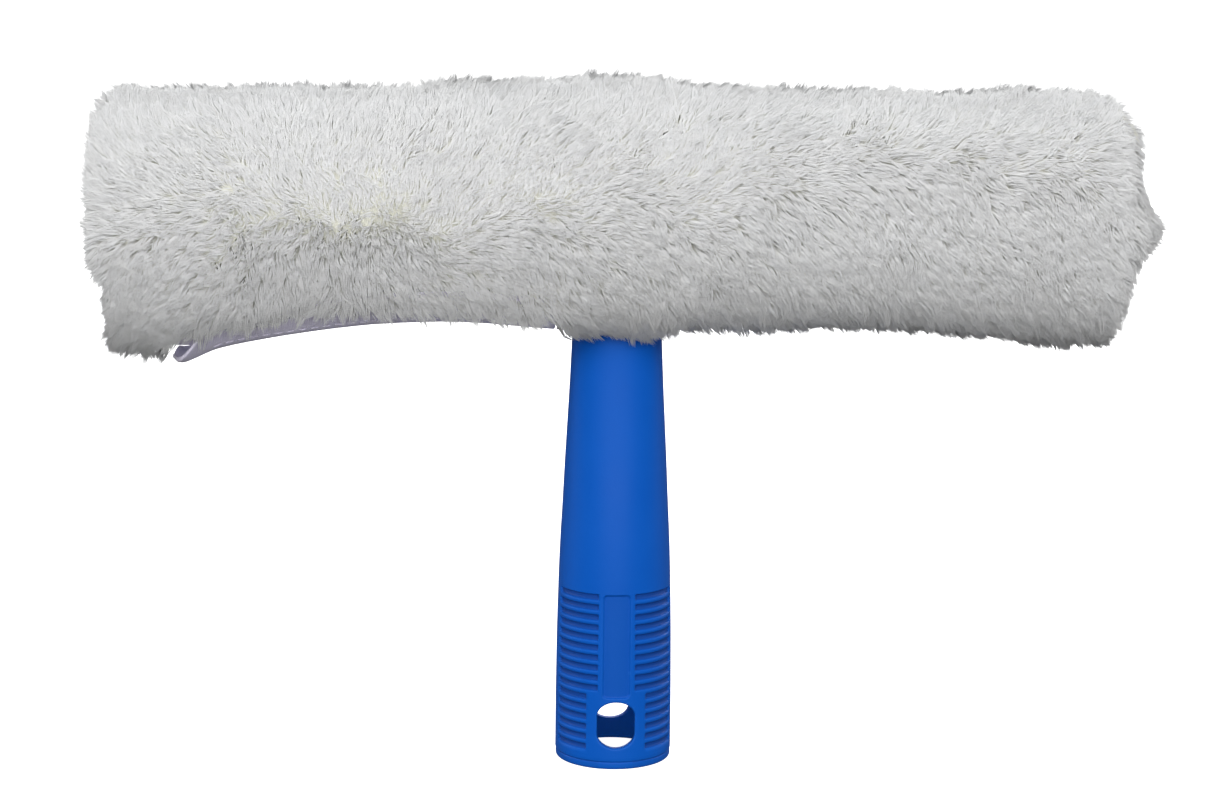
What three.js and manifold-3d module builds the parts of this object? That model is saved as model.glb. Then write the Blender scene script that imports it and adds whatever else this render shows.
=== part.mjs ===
// Window strip washer: a hollow handle and a T-bar, with a removable long-pile washing sleeve on the bar.
// Millimetres, +Z up, +X along the bar, -Y to the front. The origin is the centre of the handle's rim.

import * as THREE from 'three';
import { mergeVertices } from 'three/addons/utils/BufferGeometryUtils.js';
import Module from 'manifold-3d';

const wasm = await Module();
wasm.setup();

// Gap that pieces keep where they touch, and how far a cutter passes the face that it opens
const touch_gap = 0.3;
const overrun = 1.5;

// Handle: a round grip, then a neck that narrows and flattens to the depth of the bar
const handle_height = 118;
const handle_rim_diameter = 29;
const handle_rim_chamfer = 0.5;
const grip_height = 46;
const grip_narrowing = 1.1;
const neck_width = 21.5;
const handle_wall = 2.3;
const handle_facets = 36;
const socket_end_wall = 18;
// Rows of height share up the grip, and how far its diameter has gone from the rim's to its top's
const grip_taper_shares = [[0, 0], [0.4, 0.09], [0.72, 0.42], [1, 1]];
// Rows of height share up the neck, and how far its width and depth have gone from the grip's to its top's
const neck_taper_shares = [
  [0, 0, 0], [0.12, 0.09, 0.08], [0.26, 0.26, 0.27], [0.4, 0.41, 0.5], [0.54, 0.58, 0.73],
  [0.67, 0.74, 0.91], [0.75, 0.82, 0.98], [0.83, 0.9, 1], [1, 1, 1],
];

// Hang hole through both walls
const hang_hole_width = 9.3;
const hang_hole_height = 11.7;
const hang_hole_straight = 4.4;
const hang_hole_centre = 11.2;
const hang_hole_steps = 8;

// Grip grooves, in two lengths, and the recessed panel between them
const groove_count = 16;
const short_groove_count = 6;
const groove_first_height = 5.5;
const groove_pitch = 2.53;
const groove_height = 1.36;
const groove_depth = 0.55;
const groove_outer_angle = 68;
const groove_inner_angle = 19;
const short_groove_inner_angle = 31;
const panel_width = 6.65;
const panel_height = 25.8;
const panel_bottom = 18.2;
const panel_corner = 1;
const panel_depth = 0.5;
const corner_steps = 4;

// Tongue on top of the neck, held in the bar's hub by two screws
const tongue_width = 12;
const tongue_depth = 8.4;
const tongue_height = 24;
const tongue_corner = 1.5;
const screw_shank_diameter = 3;
const screw_length = 10;
const screw_head_diameter = 5.8;
const screw_head_height = 2;
const screw_recess_width = 0.9;
const screw_recess_length = 3.4;
const screw_recess_depth = 1.1;
const screw_sides = 14;
// Heights of the two screws on the tongue
const screw_height_shares = { fixing_screw_lower: 0.3, fixing_screw_upper: 0.72 };

// T-bar: a flanged web with zigzag ribs, arched under each arm
const bar_length = 245;
const bar_height = 42;
const bar_depth = 17;
const bar_corner = 6;
const bar_flange = 2.4;
const bar_web = 2;
const arch_rise = 19;
const paddle_length = 17;
const arch_steps = 8;
const hub_width = 30;
const hub_wall_above_tongue = 4;
const rib_thickness = 1.6;
const rib_pitch = 15;
const drain_diameter = 6;
const drain_sides = 8;

// Sleeve fabric: a woven liner round the bar, the pile on it, and tapes
const sleeve_mouth_overhang = 4.6;
const sleeve_toe_overhang = 7.5;
const sleeve_side_ease = 0.7;
const sleeve_bottom_ease = 0.5;
const liner_thickness = 0.9;
const liner_corner = 1.2;
const toe_ease = 1;
const toe_side_corner = 1;
const toe_top_corner = 4.2;
const binding_setback = 3.6;
const binding_width = 2.3;
const tape_thickness = 0.8;
const slot_ease = 0.5;
const neck_ease = 1;
const slot_end_steps = 10;

// Pile: how far it stands from the liner, as shares of its length, along the sleeve
const pile_length = 12;
const pile_roundness = 3;
const pile_facets = 28;
const pile_rings = 22;
const mouth_lip = 5;
const toe_dome = 13;
const round_steps = 4;
const last_round_share = 0.99;
// Rows of share from the middle to the mouth (-1) or the toe (1), then shares above, below and to the sides
const pile_stand_shares = [
  [-1, 0.38, 1.22, 1.03], [-0.87, 0.5, 1.28, 1.08], [-0.78, 0.52, 1.16, 1.06],
  [-0.66, 0.56, 0.9, 1.02], [-0.53, 0.57, 0.7, 0.98], [-0.41, 0.58, 0.58, 0.95],
  [-0.28, 0.6, 0.58, 0.95], [-0.13, 0.66, 0.72, 0.97], [0, 0.72, 0.82, 1],
  [0.12, 0.7, 0.8, 1], [0.3, 0.62, 0.77, 0.97], [0.48, 0.52, 0.76, 0.96],
  [0.61, 0.32, 0.8, 0.96], [0.72, 0.5, 0.98, 1.03], [0.86, 0.44, 1.04, 1.1], [1, 0.36, 0.98, 1.06],
];

// Closure flap across the slot, its sewn hem, and the tapes, all bedded in the pile
const flap_start = 15.5;
const flap_mouth_setback = 19.6;
const flap_thickness = 1;
const flap_front_overlap = 6.6;
const flap_front_ease = 0.9;
const flap_tab_radius = 7;
const flap_tab_droop = 2;
const tape_width = 5.2;
const tape_end_inset = 6;
const hem_width = 5.5;
const strip_rings = 12;
// Where strips bend across their width, as shares of the bar's depth from its middle
const strip_bend_shares = [1.08, 0.95, 0.82, 0.68, 0.54, 0.2, -0.2, -0.54, -0.68, -0.82, -0.95, -1.08];
const seam_tape_width = 9;
const seam_tape_toe_setback = 20.6;
const seam_tape_recess = 1.4;

// Places that follow from the sizes above
const grip_top_diameter = handle_rim_diameter - grip_narrowing;
const socket_depth = handle_height - socket_end_wall;
const bar_bottom = handle_height + touch_gap;
const bar_top = bar_bottom + bar_height;
const neck_depth = bar_depth;
const cavity_half_depth = bar_depth / 2 + sleeve_side_ease;
const cavity_top = bar_top + touch_gap;
const cavity_bottom = bar_bottom - sleeve_bottom_ease;
const sleeve_mouth_reach = bar_length / 2 + sleeve_mouth_overhang;
const sleeve_toe_reach = bar_length / 2 + sleeve_toe_overhang;
const binding_end = binding_setback - sleeve_mouth_reach;
const liner_start = binding_end + binding_width + touch_gap;
const toe_inside = bar_length / 2 + toe_ease;
const slot_half_width = bar_depth / 2 + slot_ease;
const slot_end = neck_width / 2 + neck_ease;
const binding_top = cavity_bottom;
const fold_line = slot_half_width + tape_thickness + touch_gap;
const hook_grow = -flap_thickness - touch_gap - tape_thickness;
const loop_grow = hook_grow - touch_gap - tape_thickness;
const flap_front = -fold_line - flap_front_overlap;
const flap_end = flap_mouth_setback - sleeve_mouth_reach;

const finishes = {
  plastic: { color: 0x1858bc, roughness: 0.42, metalness: 0 },
  steel: { color: 0xb8babd, roughness: 0.3, metalness: 1 },
  pile: { color: 0xe4e4dd, roughness: 0.95, metalness: 0 },
  backing: { color: 0xd8d8dc, roughness: 0.9, metalness: 0 },
  tape: { color: 0xc9c8dc, roughness: 0.7, metalness: 0 },
};

const washer = new THREE.Group();

function add_piece(name, solid, finish) {
  const mesh = new THREE.Mesh(geometry_of(solid), new THREE.MeshStandardMaterial(finishes[finish]));
  mesh.name = name;
  washer.add(mesh);
}

// A closed geometry as a solid, turned so that its faces point out
function solid_of(geometry) {
  const bare = geometry.clone();
  bare.deleteAttribute('normal');
  bare.deleteAttribute('uv');
  const merged = mergeVertices(bare);
  const points = Float32Array.from(merged.attributes.position.array);
  const corners = Uint32Array.from(merged.index.array);
  if (volume_of(points, corners) < 0) corners.reverse();
  return new wasm.Manifold(new wasm.Mesh({ numProp: 3, vertProperties: points, triVerts: corners }));
}

function volume_of(points, corners) {
  const [a, b, c] = [new THREE.Vector3(), new THREE.Vector3(), new THREE.Vector3()];
  let six_volumes = 0;
  for (let i = 0; i < corners.length; i += 3) {
    a.fromArray(points, 3 * corners[i]);
    b.fromArray(points, 3 * corners[i + 1]);
    c.fromArray(points, 3 * corners[i + 2]);
    six_volumes += a.dot(b.cross(c));
  }
  return six_volumes;
}

function geometry_of(solid) {
  const { vertProperties, triVerts } = solid.getMesh();
  const geometry = new THREE.BufferGeometry();
  geometry.setAttribute('position', new THREE.BufferAttribute(vertProperties, 3));
  geometry.setIndex(new THREE.BufferAttribute(triVerts, 1));
  geometry.computeVertexNormals();
  return geometry;
}

// A solid skinned over rings that all have the same number of points, with flat ends.
// drop_axis names the coordinate that the end rings share.
function loft(rings, drop_axis) {
  const count = rings[0].length;
  const positions = rings.flat().flatMap((point) => point.toArray());
  const corners = [];
  for (let ring = 0; ring < rings.length - 1; ring += 1) {
    for (let step = 0; step < count; step += 1) {
      const a = ring * count + step;
      const b = ring * count + ((step + 1) % count);
      corners.push(a, b, b + count, a, b + count, a + count);
    }
  }
  const flat = (point) => (drop_axis === 'x'
    ? new THREE.Vector2(point.y, point.z) : new THREE.Vector2(point.x, point.y));
  const last = (rings.length - 1) * count;
  const side_turn = Math.sign(THREE.ShapeUtils.area(rings[0].map(flat)));
  const end_turn = Math.sign(THREE.ShapeUtils.area(rings.at(-1).map(flat)));
  for (const [a, b, c] of cap_triangles(rings[0].map(flat), -side_turn)) corners.push(a, b, c);
  for (const [a, b, c] of cap_triangles(rings.at(-1).map(flat), end_turn)) {
    corners.push(last + a, last + b, last + c);
  }
  const geometry = new THREE.BufferGeometry();
  geometry.setAttribute('position', new THREE.Float32BufferAttribute(positions, 3));
  geometry.setIndex(corners);
  return solid_of(geometry);
}

// Triangles over one flat ring, running the way of the ring when turn matches its own turn
function cap_triangles(ring, turn) {
  const own_turn = Math.sign(THREE.ShapeUtils.area(ring));
  const order = ring.map((point, index) => index);
  if (own_turn < 0) order.reverse();
  const faces = THREE.ShapeUtils.triangulateShape(order.map((index) => ring[index]), []);
  const along_ring = faces.map((face) => face.map((index) => order[index]));
  const flip = (own_turn < 0) === (turn === own_turn);
  return flip ? along_ring.map((face) => face.reverse()) : along_ring;
}

// A smooth curve through a table of rows, each a place followed by values
function curve_of(rows) {
  const places = rows.map((row) => row[0]);
  const values = rows.flatMap((row) => row.slice(1));
  const curve = new THREE.CubicInterpolant(places, values, rows[0].length - 1);
  return (place) => Array.from(curve.evaluate(place));
}

function evenly(first, last, steps) {
  return Array.from({ length: steps + 1 }, (empty, step) => first + ((last - first) * step) / steps);
}

// A flat shape in X and Z, extruded along Y between two places
function slab_of(shape, front, back, curve_steps) {
  const geometry = new THREE.ExtrudeGeometry(shape, {
    depth: back - front, bevelEnabled: false, curveSegments: curve_steps,
  });
  geometry.rotateX(Math.PI / 2);
  geometry.translate(0, back, 0);
  return solid_of(geometry);
}

// A flat shape in X and Y, extruded along Z between two heights
function post_of(shape, low, high, curve_steps) {
  const geometry = new THREE.ExtrudeGeometry(shape, {
    depth: high - low, bevelEnabled: false, curveSegments: curve_steps,
  });
  geometry.translate(0, 0, low);
  return solid_of(geometry);
}

function rounded_rectangle(left, right, low, high, radius) {
  const shape = new THREE.Shape();
  shape.absarc(right - radius, low + radius, radius, -Math.PI / 2, 0);
  shape.absarc(right - radius, high - radius, radius, 0, Math.PI / 2);
  shape.absarc(left + radius, high - radius, radius, Math.PI / 2, Math.PI);
  shape.absarc(left + radius, low + radius, radius, Math.PI, 1.5 * Math.PI);
  shape.closePath();
  return shape;
}

// A cylinder along Y between two places
function rod_along_y(radius, front, back, x, z, sides) {
  const geometry = new THREE.CylinderGeometry(radius, radius, back - front, sides);
  geometry.translate(x, (front + back) / 2, z);
  return solid_of(geometry);
}

// Handle

const grip_taper = curve_of(grip_taper_shares);
const neck_taper = curve_of(neck_taper_shares);

// Width and depth of the handle at a height
function handle_size(height) {
  if (height <= grip_height) {
    const [share] = grip_taper(Math.max(height, 0) / grip_height);
    const diameter = THREE.MathUtils.lerp(handle_rim_diameter, grip_top_diameter, share);
    return [diameter, diameter];
  }
  const shares = neck_taper(Math.min((height - grip_height) / (handle_height - grip_height), 1));
  return [neck_width, neck_depth].map((size, side) => (
    THREE.MathUtils.lerp(grip_top_diameter, size, shares[side])));
}

// Ellipse of the handle at a height, grown outwards
function handle_ring(height, grow) {
  const [width, depth] = handle_size(height);
  return evenly(0, 2 * Math.PI, handle_facets).slice(1).map((angle) => new THREE.Vector3(
    (width / 2 + grow) * Math.cos(angle), (depth / 2 + grow) * Math.sin(angle), height));
}

// Heights of the rings between two heights: the ends, and the rows of the tapers between them
function ring_heights(low, high) {
  const neck_height = handle_height - grip_height;
  const rows = [
    ...grip_taper_shares.map(([place]) => place * grip_height),
    ...neck_taper_shares.slice(1).map(([place]) => grip_height + place * neck_height),
  ];
  return [low, ...rows.filter((height) => height > low && height < high), high];
}

// The handle's form between two heights, grown outwards, with no chamfer
function handle_form(low, high, grow) {
  return loft(ring_heights(low, high).map((height) => handle_ring(height, grow)), 'z');
}

function handle_shell() {
  const outer = loft([
    handle_ring(0, -handle_rim_chamfer),
    ...ring_heights(handle_rim_chamfer, handle_height).map((height) => handle_ring(height, 0)),
  ], 'z');
  const lead_in = loft([
    handle_ring(-handle_rim_chamfer, 2 * handle_rim_chamfer - handle_wall),
    handle_ring(handle_rim_chamfer, -handle_wall),
  ], 'z');
  const socket = handle_form(-overrun, socket_depth, -handle_wall);
  return outer.subtract(socket).subtract(lead_in);
}

function hang_hole() {
  const end_rise = (hang_hole_height - hang_hole_straight) / 2;
  const straight_top = hang_hole_centre + hang_hole_straight / 2;
  const straight_bottom = hang_hole_centre - hang_hole_straight / 2;
  const shape = new THREE.Shape();
  shape.absellipse(0, straight_top, hang_hole_width / 2, end_rise, 0, Math.PI);
  shape.absellipse(0, straight_bottom, hang_hole_width / 2, end_rise, Math.PI, 2 * Math.PI);
  shape.closePath();
  return slab_of(shape, -handle_rim_diameter, handle_rim_diameter, hang_hole_steps);
}

// A wedge in plan between two angles from the front, for one of the four quarters
function groove_wedge(inner_angle, side, face, low, high) {
  const reach = handle_rim_diameter;
  const corner = (angle, radius) => new THREE.Vector2(
    side * radius * Math.sin(THREE.MathUtils.degToRad(angle)),
    face * radius * Math.cos(THREE.MathUtils.degToRad(angle)));
  const inside = handle_rim_diameter / 4;
  const shape = new THREE.Shape([
    corner(inner_angle, inside), corner(inner_angle, reach),
    corner(groove_outer_angle, reach), corner(groove_outer_angle, inside),
  ]);
  return post_of(shape, low, high, 1);
}

function grip_grooves() {
  const wedges = [];
  for (let groove = 0; groove < groove_count; groove += 1) {
    const middle = groove_first_height + groove * groove_pitch;
    const inner_angle = groove < short_groove_count ? short_groove_inner_angle : groove_inner_angle;
    for (const side of [-1, 1]) {
      for (const face of [-1, 1]) {
        wedges.push(groove_wedge(
          inner_angle, side, face, middle - groove_height / 2, middle + groove_height / 2));
      }
    }
  }
  const core = handle_form(0, handle_height, -groove_depth);
  return wasm.Manifold.union(wedges).subtract(core);
}

function panel_recess() {
  const shape = rounded_rectangle(
    -panel_width / 2, panel_width / 2, panel_bottom, panel_bottom + panel_height, panel_corner);
  const prism = slab_of(shape, -handle_rim_diameter, 0, corner_steps);
  return prism.subtract(handle_form(0, handle_height, -panel_depth));
}

function tongue(grow, extra_height) {
  const shape = rounded_rectangle(
    -tongue_width / 2 - grow, tongue_width / 2 + grow,
    -tongue_depth / 2 - grow, tongue_depth / 2 + grow, tongue_corner);
  return post_of(shape, handle_height - overrun, handle_height + tongue_height + extra_height, corner_steps);
}

// Screws run along Y from the back; a hole is a screw grown by the gap
function screw_height(name) {
  return handle_height + tongue_height * screw_height_shares[name];
}

function screw_form(name, grow, head_reach) {
  const height = screw_height(name);
  const head_back = bar_depth / 2;
  const head_front = head_back - screw_head_height;
  const shank = rod_along_y(
    screw_shank_diameter / 2 + grow, head_front - screw_length - grow, head_back, 0, height, screw_sides);
  const head = rod_along_y(
    screw_head_diameter / 2 + grow, head_front - grow, head_back + head_reach, 0, height, screw_sides);
  return shank.add(head);
}

function screw_recess(name) {
  const height = screw_height(name);
  const bars = [[screw_recess_length, screw_recess_width], [screw_recess_width, screw_recess_length]];
  return wasm.Manifold.union(bars.map(([width, tall]) => {
    const box = new THREE.BoxGeometry(width, 2 * screw_recess_depth, tall);
    box.translate(0, bar_depth / 2, height);
    return solid_of(box);
  }));
}

const screw_names = Object.keys(screw_height_shares);
const screw_holes = wasm.Manifold.union(
  screw_names.map((name) => screw_form(name, touch_gap, overrun)));

const handle = handle_shell()
  .subtract(hang_hole())
  .subtract(grip_grooves())
  .subtract(panel_recess())
  .add(tongue(0, 0))
  .subtract(screw_holes);
add_piece('handle', handle, 'plastic');
for (const name of screw_names) {
  add_piece(name, screw_form(name, 0, 0).subtract(screw_recess(name)), 'steel');
}

// T-bar

// Outline of the bar in X and Z, drawn in by an inset all round
function bar_outline(inset) {
  const half = bar_length / 2 - inset;
  const top = bar_top - inset;
  const bottom = bar_bottom + inset;
  const radius = bar_corner - inset;
  const arch_outer = bar_length / 2 - paddle_length;
  const arch_middle = (hub_width / 2 + arch_outer) / 2;
  const arch_half = (arch_outer - hub_width / 2) / 2 + inset;
  const lift = Math.asin(inset / (arch_rise + inset));
  const shape = new THREE.Shape();
  shape.absarc(half - radius, top - radius, radius, 0, Math.PI / 2);
  shape.absarc(-half + radius, top - radius, radius, Math.PI / 2, Math.PI);
  shape.absarc(-half + radius, bottom + radius, radius, Math.PI, 1.5 * Math.PI);
  for (const side of [-1, 1]) {
    shape.absellipse(
      side * arch_middle, bar_bottom, arch_half, arch_rise + inset, Math.PI - lift, lift, true);
  }
  shape.absarc(half - radius, bottom + radius, radius, 1.5 * Math.PI, 2 * Math.PI);
  shape.closePath();
  return shape;
}

function bar_ribs() {
  const half = bar_length / 2;
  const reach = bar_height / 2;
  const ribs = [];
  for (const side of [-1, 1]) {
    const room = half - hub_width / 2;
    const count = Math.floor(room / rib_pitch);
    for (let rib = 0; rib < count; rib += 1) {
      const middle = side * (hub_width / 2 + (rib + 1 / 2) * (room / count));
      const lean = Math.atan2(room / count, bar_height) * (rib % 2 === 0 ? 1 : -1) * side;
      const box = new THREE.BoxGeometry(rib_thickness, bar_depth - bar_flange, 4 * reach);
      box.rotateY(lean);
      box.translate(middle, 0, bar_bottom + reach);
      ribs.push(solid_of(box));
    }
  }
  return wasm.Manifold.union(ribs);
}

function bar_drains() {
  const half = bar_length / 2;
  const drains = [];
  for (const side of [-1, 1]) {
    const room = half - hub_width / 2;
    const count = Math.floor(room / rib_pitch);
    for (let gap = 1; gap < count; gap += 2) {
      const x = side * (hub_width / 2 + gap * (room / count));
      const z = bar_top - bar_flange - drain_diameter;
      drains.push(rod_along_y(drain_diameter / 2, -bar_depth, bar_depth, x, z, drain_sides));
    }
  }
  return wasm.Manifold.union(drains);
}

function bar_hub() {
  const top = bar_bottom + tongue_height + hub_wall_above_tongue;
  const shape = new THREE.Shape([
    new THREE.Vector2(-hub_width / 2, bar_bottom), new THREE.Vector2(hub_width / 2, bar_bottom),
    new THREE.Vector2(hub_width / 2, top), new THREE.Vector2(-hub_width / 2, top),
  ]);
  return slab_of(shape, -bar_depth / 2, bar_depth / 2, 1);
}

const bar_block = slab_of(bar_outline(0), -bar_depth / 2, bar_depth / 2, arch_steps);
const bar_core = slab_of(bar_outline(bar_flange), -bar_depth, bar_depth, arch_steps);
const bar_web_plate = slab_of(bar_outline(0), -bar_web / 2, bar_web / 2, arch_steps);
const t_bar = bar_block.subtract(bar_core)
  .add(bar_web_plate)
  .add(bar_ribs().intersect(bar_block))
  .subtract(bar_drains())
  .add(bar_hub())
  .subtract(tongue(touch_gap, touch_gap))
  .subtract(screw_holes);
add_piece('t_bar', t_bar, 'plastic');

// Sleeve

// Round-cornered ring about the bar in the plane of a place along X, grown outwards, and then drawn in
// from its sides and from its top and bottom
function fabric_ring(x, grow, side_draw, top_draw) {
  const shape = rounded_rectangle(
    side_draw - grow - cavity_half_depth, cavity_half_depth + grow - side_draw,
    cavity_bottom - grow + top_draw, cavity_top + grow - top_draw, liner_corner + grow);
  return shape.getPoints(corner_steps).slice(1).map((point) => new THREE.Vector3(x, point.x, point.y));
}

function fabric_tube(start, end, grow) {
  return loft([fabric_ring(start, grow, 0, 0), fabric_ring(end, grow, 0, 0)], 'x');
}

// The tube of a given grow, with a toe whose corners follow those of the bar
function fabric_sock(start, grow) {
  const end = toe_inside + grow;
  return loft([
    fabric_ring(start, grow, 0, 0),
    fabric_ring(end - toe_top_corner, grow, 0, 0),
    fabric_ring(end - toe_side_corner, grow, 0, toe_top_corner - toe_side_corner),
    fabric_ring(end, grow, toe_side_corner, toe_top_corner),
  ], 'x');
}

// A flat U in plan that opens through the mouth and ends round past the neck
function slot_shape(grow) {
  const half = slot_half_width + grow;
  const mouth = -sleeve_mouth_reach - overrun;
  const middle = slot_end - slot_half_width;
  const shape = new THREE.Shape();
  shape.moveTo(mouth, -half);
  shape.lineTo(middle, -half);
  shape.absarc(middle, 0, half, -Math.PI / 2, Math.PI / 2);
  shape.lineTo(mouth, half);
  shape.closePath();
  return shape;
}

function slot_prism(grow, top) {
  return post_of(slot_shape(grow), 0, top, slot_end_steps);
}

const pile_stand = curve_of(pile_stand_shares);

// Middle height, half height and half depth of the pile at a place along X, grown outwards
function pile_section(x, grow) {
  const reach = x < 0 ? sleeve_mouth_reach : sleeve_toe_reach;
  const place = THREE.MathUtils.clamp(x / reach, -1, 1);
  const [above, below, aside] = pile_stand(place).map((share) => share * pile_length);
  const top = cavity_top + liner_thickness + above;
  const bottom = cavity_bottom - liner_thickness - below;
  const side = cavity_half_depth + liner_thickness + aside;
  return { middle: (top + bottom) / 2, half_height: (top - bottom) / 2 + grow, half_depth: side + grow };
}

// Superellipse ring of the pile, drawn in by an amount and scaled about its middle
function pile_ring(x, draw_in, scale) {
  const { middle, half_height, half_depth } = pile_section(x, -draw_in);
  const power = 2 / pile_roundness;
  const bulge = (value) => Math.sign(value) * Math.abs(value) ** power;
  return evenly(0, 2 * Math.PI, pile_facets).slice(1).map((angle) => new THREE.Vector3(
    x, scale * half_depth * bulge(Math.cos(angle)),
    middle + scale * half_height * bulge(Math.sin(angle))));
}

function pile_outer() {
  const body_start = mouth_lip - sleeve_mouth_reach;
  const body_end = sleeve_toe_reach - toe_dome;
  const rings = [];
  for (const turn of evenly(last_round_share, 0, round_steps)) {
    const draw_in = mouth_lip * (1 - Math.sqrt(1 - turn ** 2));
    rings.push(pile_ring(body_start - mouth_lip * turn / last_round_share, draw_in, 1));
  }
  for (const x of evenly(body_start, body_end, pile_rings).slice(1)) rings.push(pile_ring(x, 0, 1));
  for (const turn of evenly(0, last_round_share, round_steps).slice(1)) {
    rings.push(pile_ring(body_end + toe_dome * turn / last_round_share, 0, Math.sqrt(1 - turn ** 2)));
  }
  return loft(rings, 'x');
}

// Height of the pile's underside at a place, grown outwards
function underside(x, y, grow) {
  const { middle, half_height, half_depth } = pile_section(x, grow);
  return middle - half_height * (1 - Math.abs(y / half_depth) ** pile_roundness) ** (1 / pile_roundness);
}

// A strip in or under the pile, between two places in X and two in Y.
// bend_at gives, for a place in X, its inner face's grow and how far each edge is drawn in.
function strip_under(start, end, rear, front, thickness, bend_at) {
  const bends = strip_bend_shares.map((share) => share * bar_depth);
  const columns = [rear, ...bends.filter((y) => y < rear && y > front), front];
  const middle = (rear + front) / 2;
  return loft(evenly(start, end, strip_rings).map((x) => {
    const { grow, draw_in } = bend_at(x);
    const narrowing = 1 - (2 * draw_in) / (rear - front);
    const face = (grown) => columns.map((column) => {
      const y = middle + (column - middle) * narrowing;
      return new THREE.Vector3(x, y, underside(x, y, grown));
    });
    return [...face(grow), ...face(grow + thickness).reverse()];
  }), 'x');
}

function even_strip(start, end, rear, front, grow, thickness) {
  return strip_under(start, end, rear, front, thickness, () => ({ grow, draw_in: 0 }));
}

const pile_body = pile_outer();
const pile_inner_grow = liner_thickness + touch_gap;
const slot_cut_grow = tape_thickness + touch_gap;
const slot_cut = slot_prism(slot_cut_grow, binding_top + touch_gap);

const liner = fabric_sock(liner_start, liner_thickness)
  .subtract(fabric_sock(liner_start - overrun, 0))
  .subtract(slot_cut);
add_piece('sleeve_liner', liner, 'backing');

const mouth_binding = fabric_tube(binding_end, binding_end + binding_width, liner_thickness)
  .subtract(fabric_tube(binding_end - overrun, liner_start + overrun, 0))
  .subtract(slot_cut);
add_piece('mouth_binding', mouth_binding, 'tape');

// Seam tape under the closed half, in a bed in the pile
const seam_tape_start = slot_end + slot_cut_grow + tape_thickness;
const seam_tape_end = sleeve_toe_reach - seam_tape_toe_setback;
const seam_half_width = seam_tape_width / 2;
const seam_grow = -seam_tape_recess - tape_thickness;
const seam_bed = even_strip(
  seam_tape_start - touch_gap, seam_tape_end + touch_gap, seam_half_width + touch_gap,
  -seam_half_width - touch_gap, seam_grow - touch_gap, overrun - seam_grow);
add_piece('seam_tape', even_strip(
  seam_tape_start, seam_tape_end, seam_half_width, -seam_half_width, seam_grow, tape_thickness), 'tape');

// Closure flap: it hangs on its hem at the rear lip, and holds to the front lip by its tapes
const tape_start = -flap_start - tape_end_inset;
const tape_end = flap_end + flap_tab_radius + tape_end_inset;
const tape_rear = -fold_line - touch_gap;
const tape_front = tape_rear - tape_width;
const hem_front = fold_line + touch_gap;
const hem_rear = hem_front + hem_width;

add_piece('loop_tape', even_strip(
  tape_end, tape_start, tape_rear, tape_front, loop_grow, tape_thickness), 'tape');
add_piece('hook_tape', even_strip(
  tape_end, tape_start, tape_rear, tape_front, hook_grow, tape_thickness), 'tape');
add_piece('flap_hem', even_strip(
  flap_end + flap_tab_radius, -flap_start, hem_rear, hem_front, -flap_thickness, flap_thickness), 'tape');

// How far the rounded tab has turned at a place, from 0 at its root to its last share at the tip
function tab_share(x) {
  return Math.max((flap_end + flap_tab_radius - x) / flap_tab_radius, 0) * last_round_share;
}

const closure_flap = strip_under(flap_end, -flap_start, fold_line, flap_front, flap_thickness, (x) => {
  const share = tab_share(x);
  return {
    grow: flap_tab_droop * share ** 2 - flap_thickness,
    draw_in: flap_tab_radius * (1 - Math.sqrt(1 - share ** 2)),
  };
});
add_piece('closure_flap', closure_flap, 'tape');

const flap_bed = even_strip(
  flap_end - touch_gap, touch_gap - flap_start, hem_rear + touch_gap,
  flap_front - flap_front_ease, -flap_thickness - touch_gap, overrun + flap_thickness);
const tape_bed = even_strip(
  tape_end - touch_gap, tape_start + touch_gap, tape_rear + touch_gap,
  tape_front - flap_front_ease, loop_grow - touch_gap, overrun - loop_grow);

const slot_binding = slot_prism(tape_thickness, binding_top)
  .subtract(slot_prism(0, binding_top + overrun))
  .intersect(pile_body)
  .subtract(flap_bed);
add_piece('slot_binding', slot_binding, 'tape');

const sleeve_pile = pile_body
  .subtract(fabric_sock(-sleeve_mouth_reach - overrun, pile_inner_grow))
  .subtract(slot_prism(slot_cut_grow, binding_top))
  .subtract(seam_bed)
  .subtract(flap_bed)
  .subtract(tape_bed);
add_piece('sleeve_pile', sleeve_pile, 'pile');

export default washer;
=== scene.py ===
# %% [markdown]
# A window strip washer. A hollow plastic handle carries a T-bar, and a long-pile washing sleeve is pulled
# over the bar. The parts that carry and move come ready-made, as a fixed frame. This notebook gives them
# their looks: a finer handle, woven tapes, and a fleece of about three hundred thousand modelled strands.
# All lengths are in metres, in the frame's own axes: Z up the handle, X along the bar, -Y to the front.

# %% Load the frame
import math

import bmesh
import bpy
import numpy as np
from mathutils import Matrix, Vector, noise
from mathutils.bvhtree import BVHTree


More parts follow.
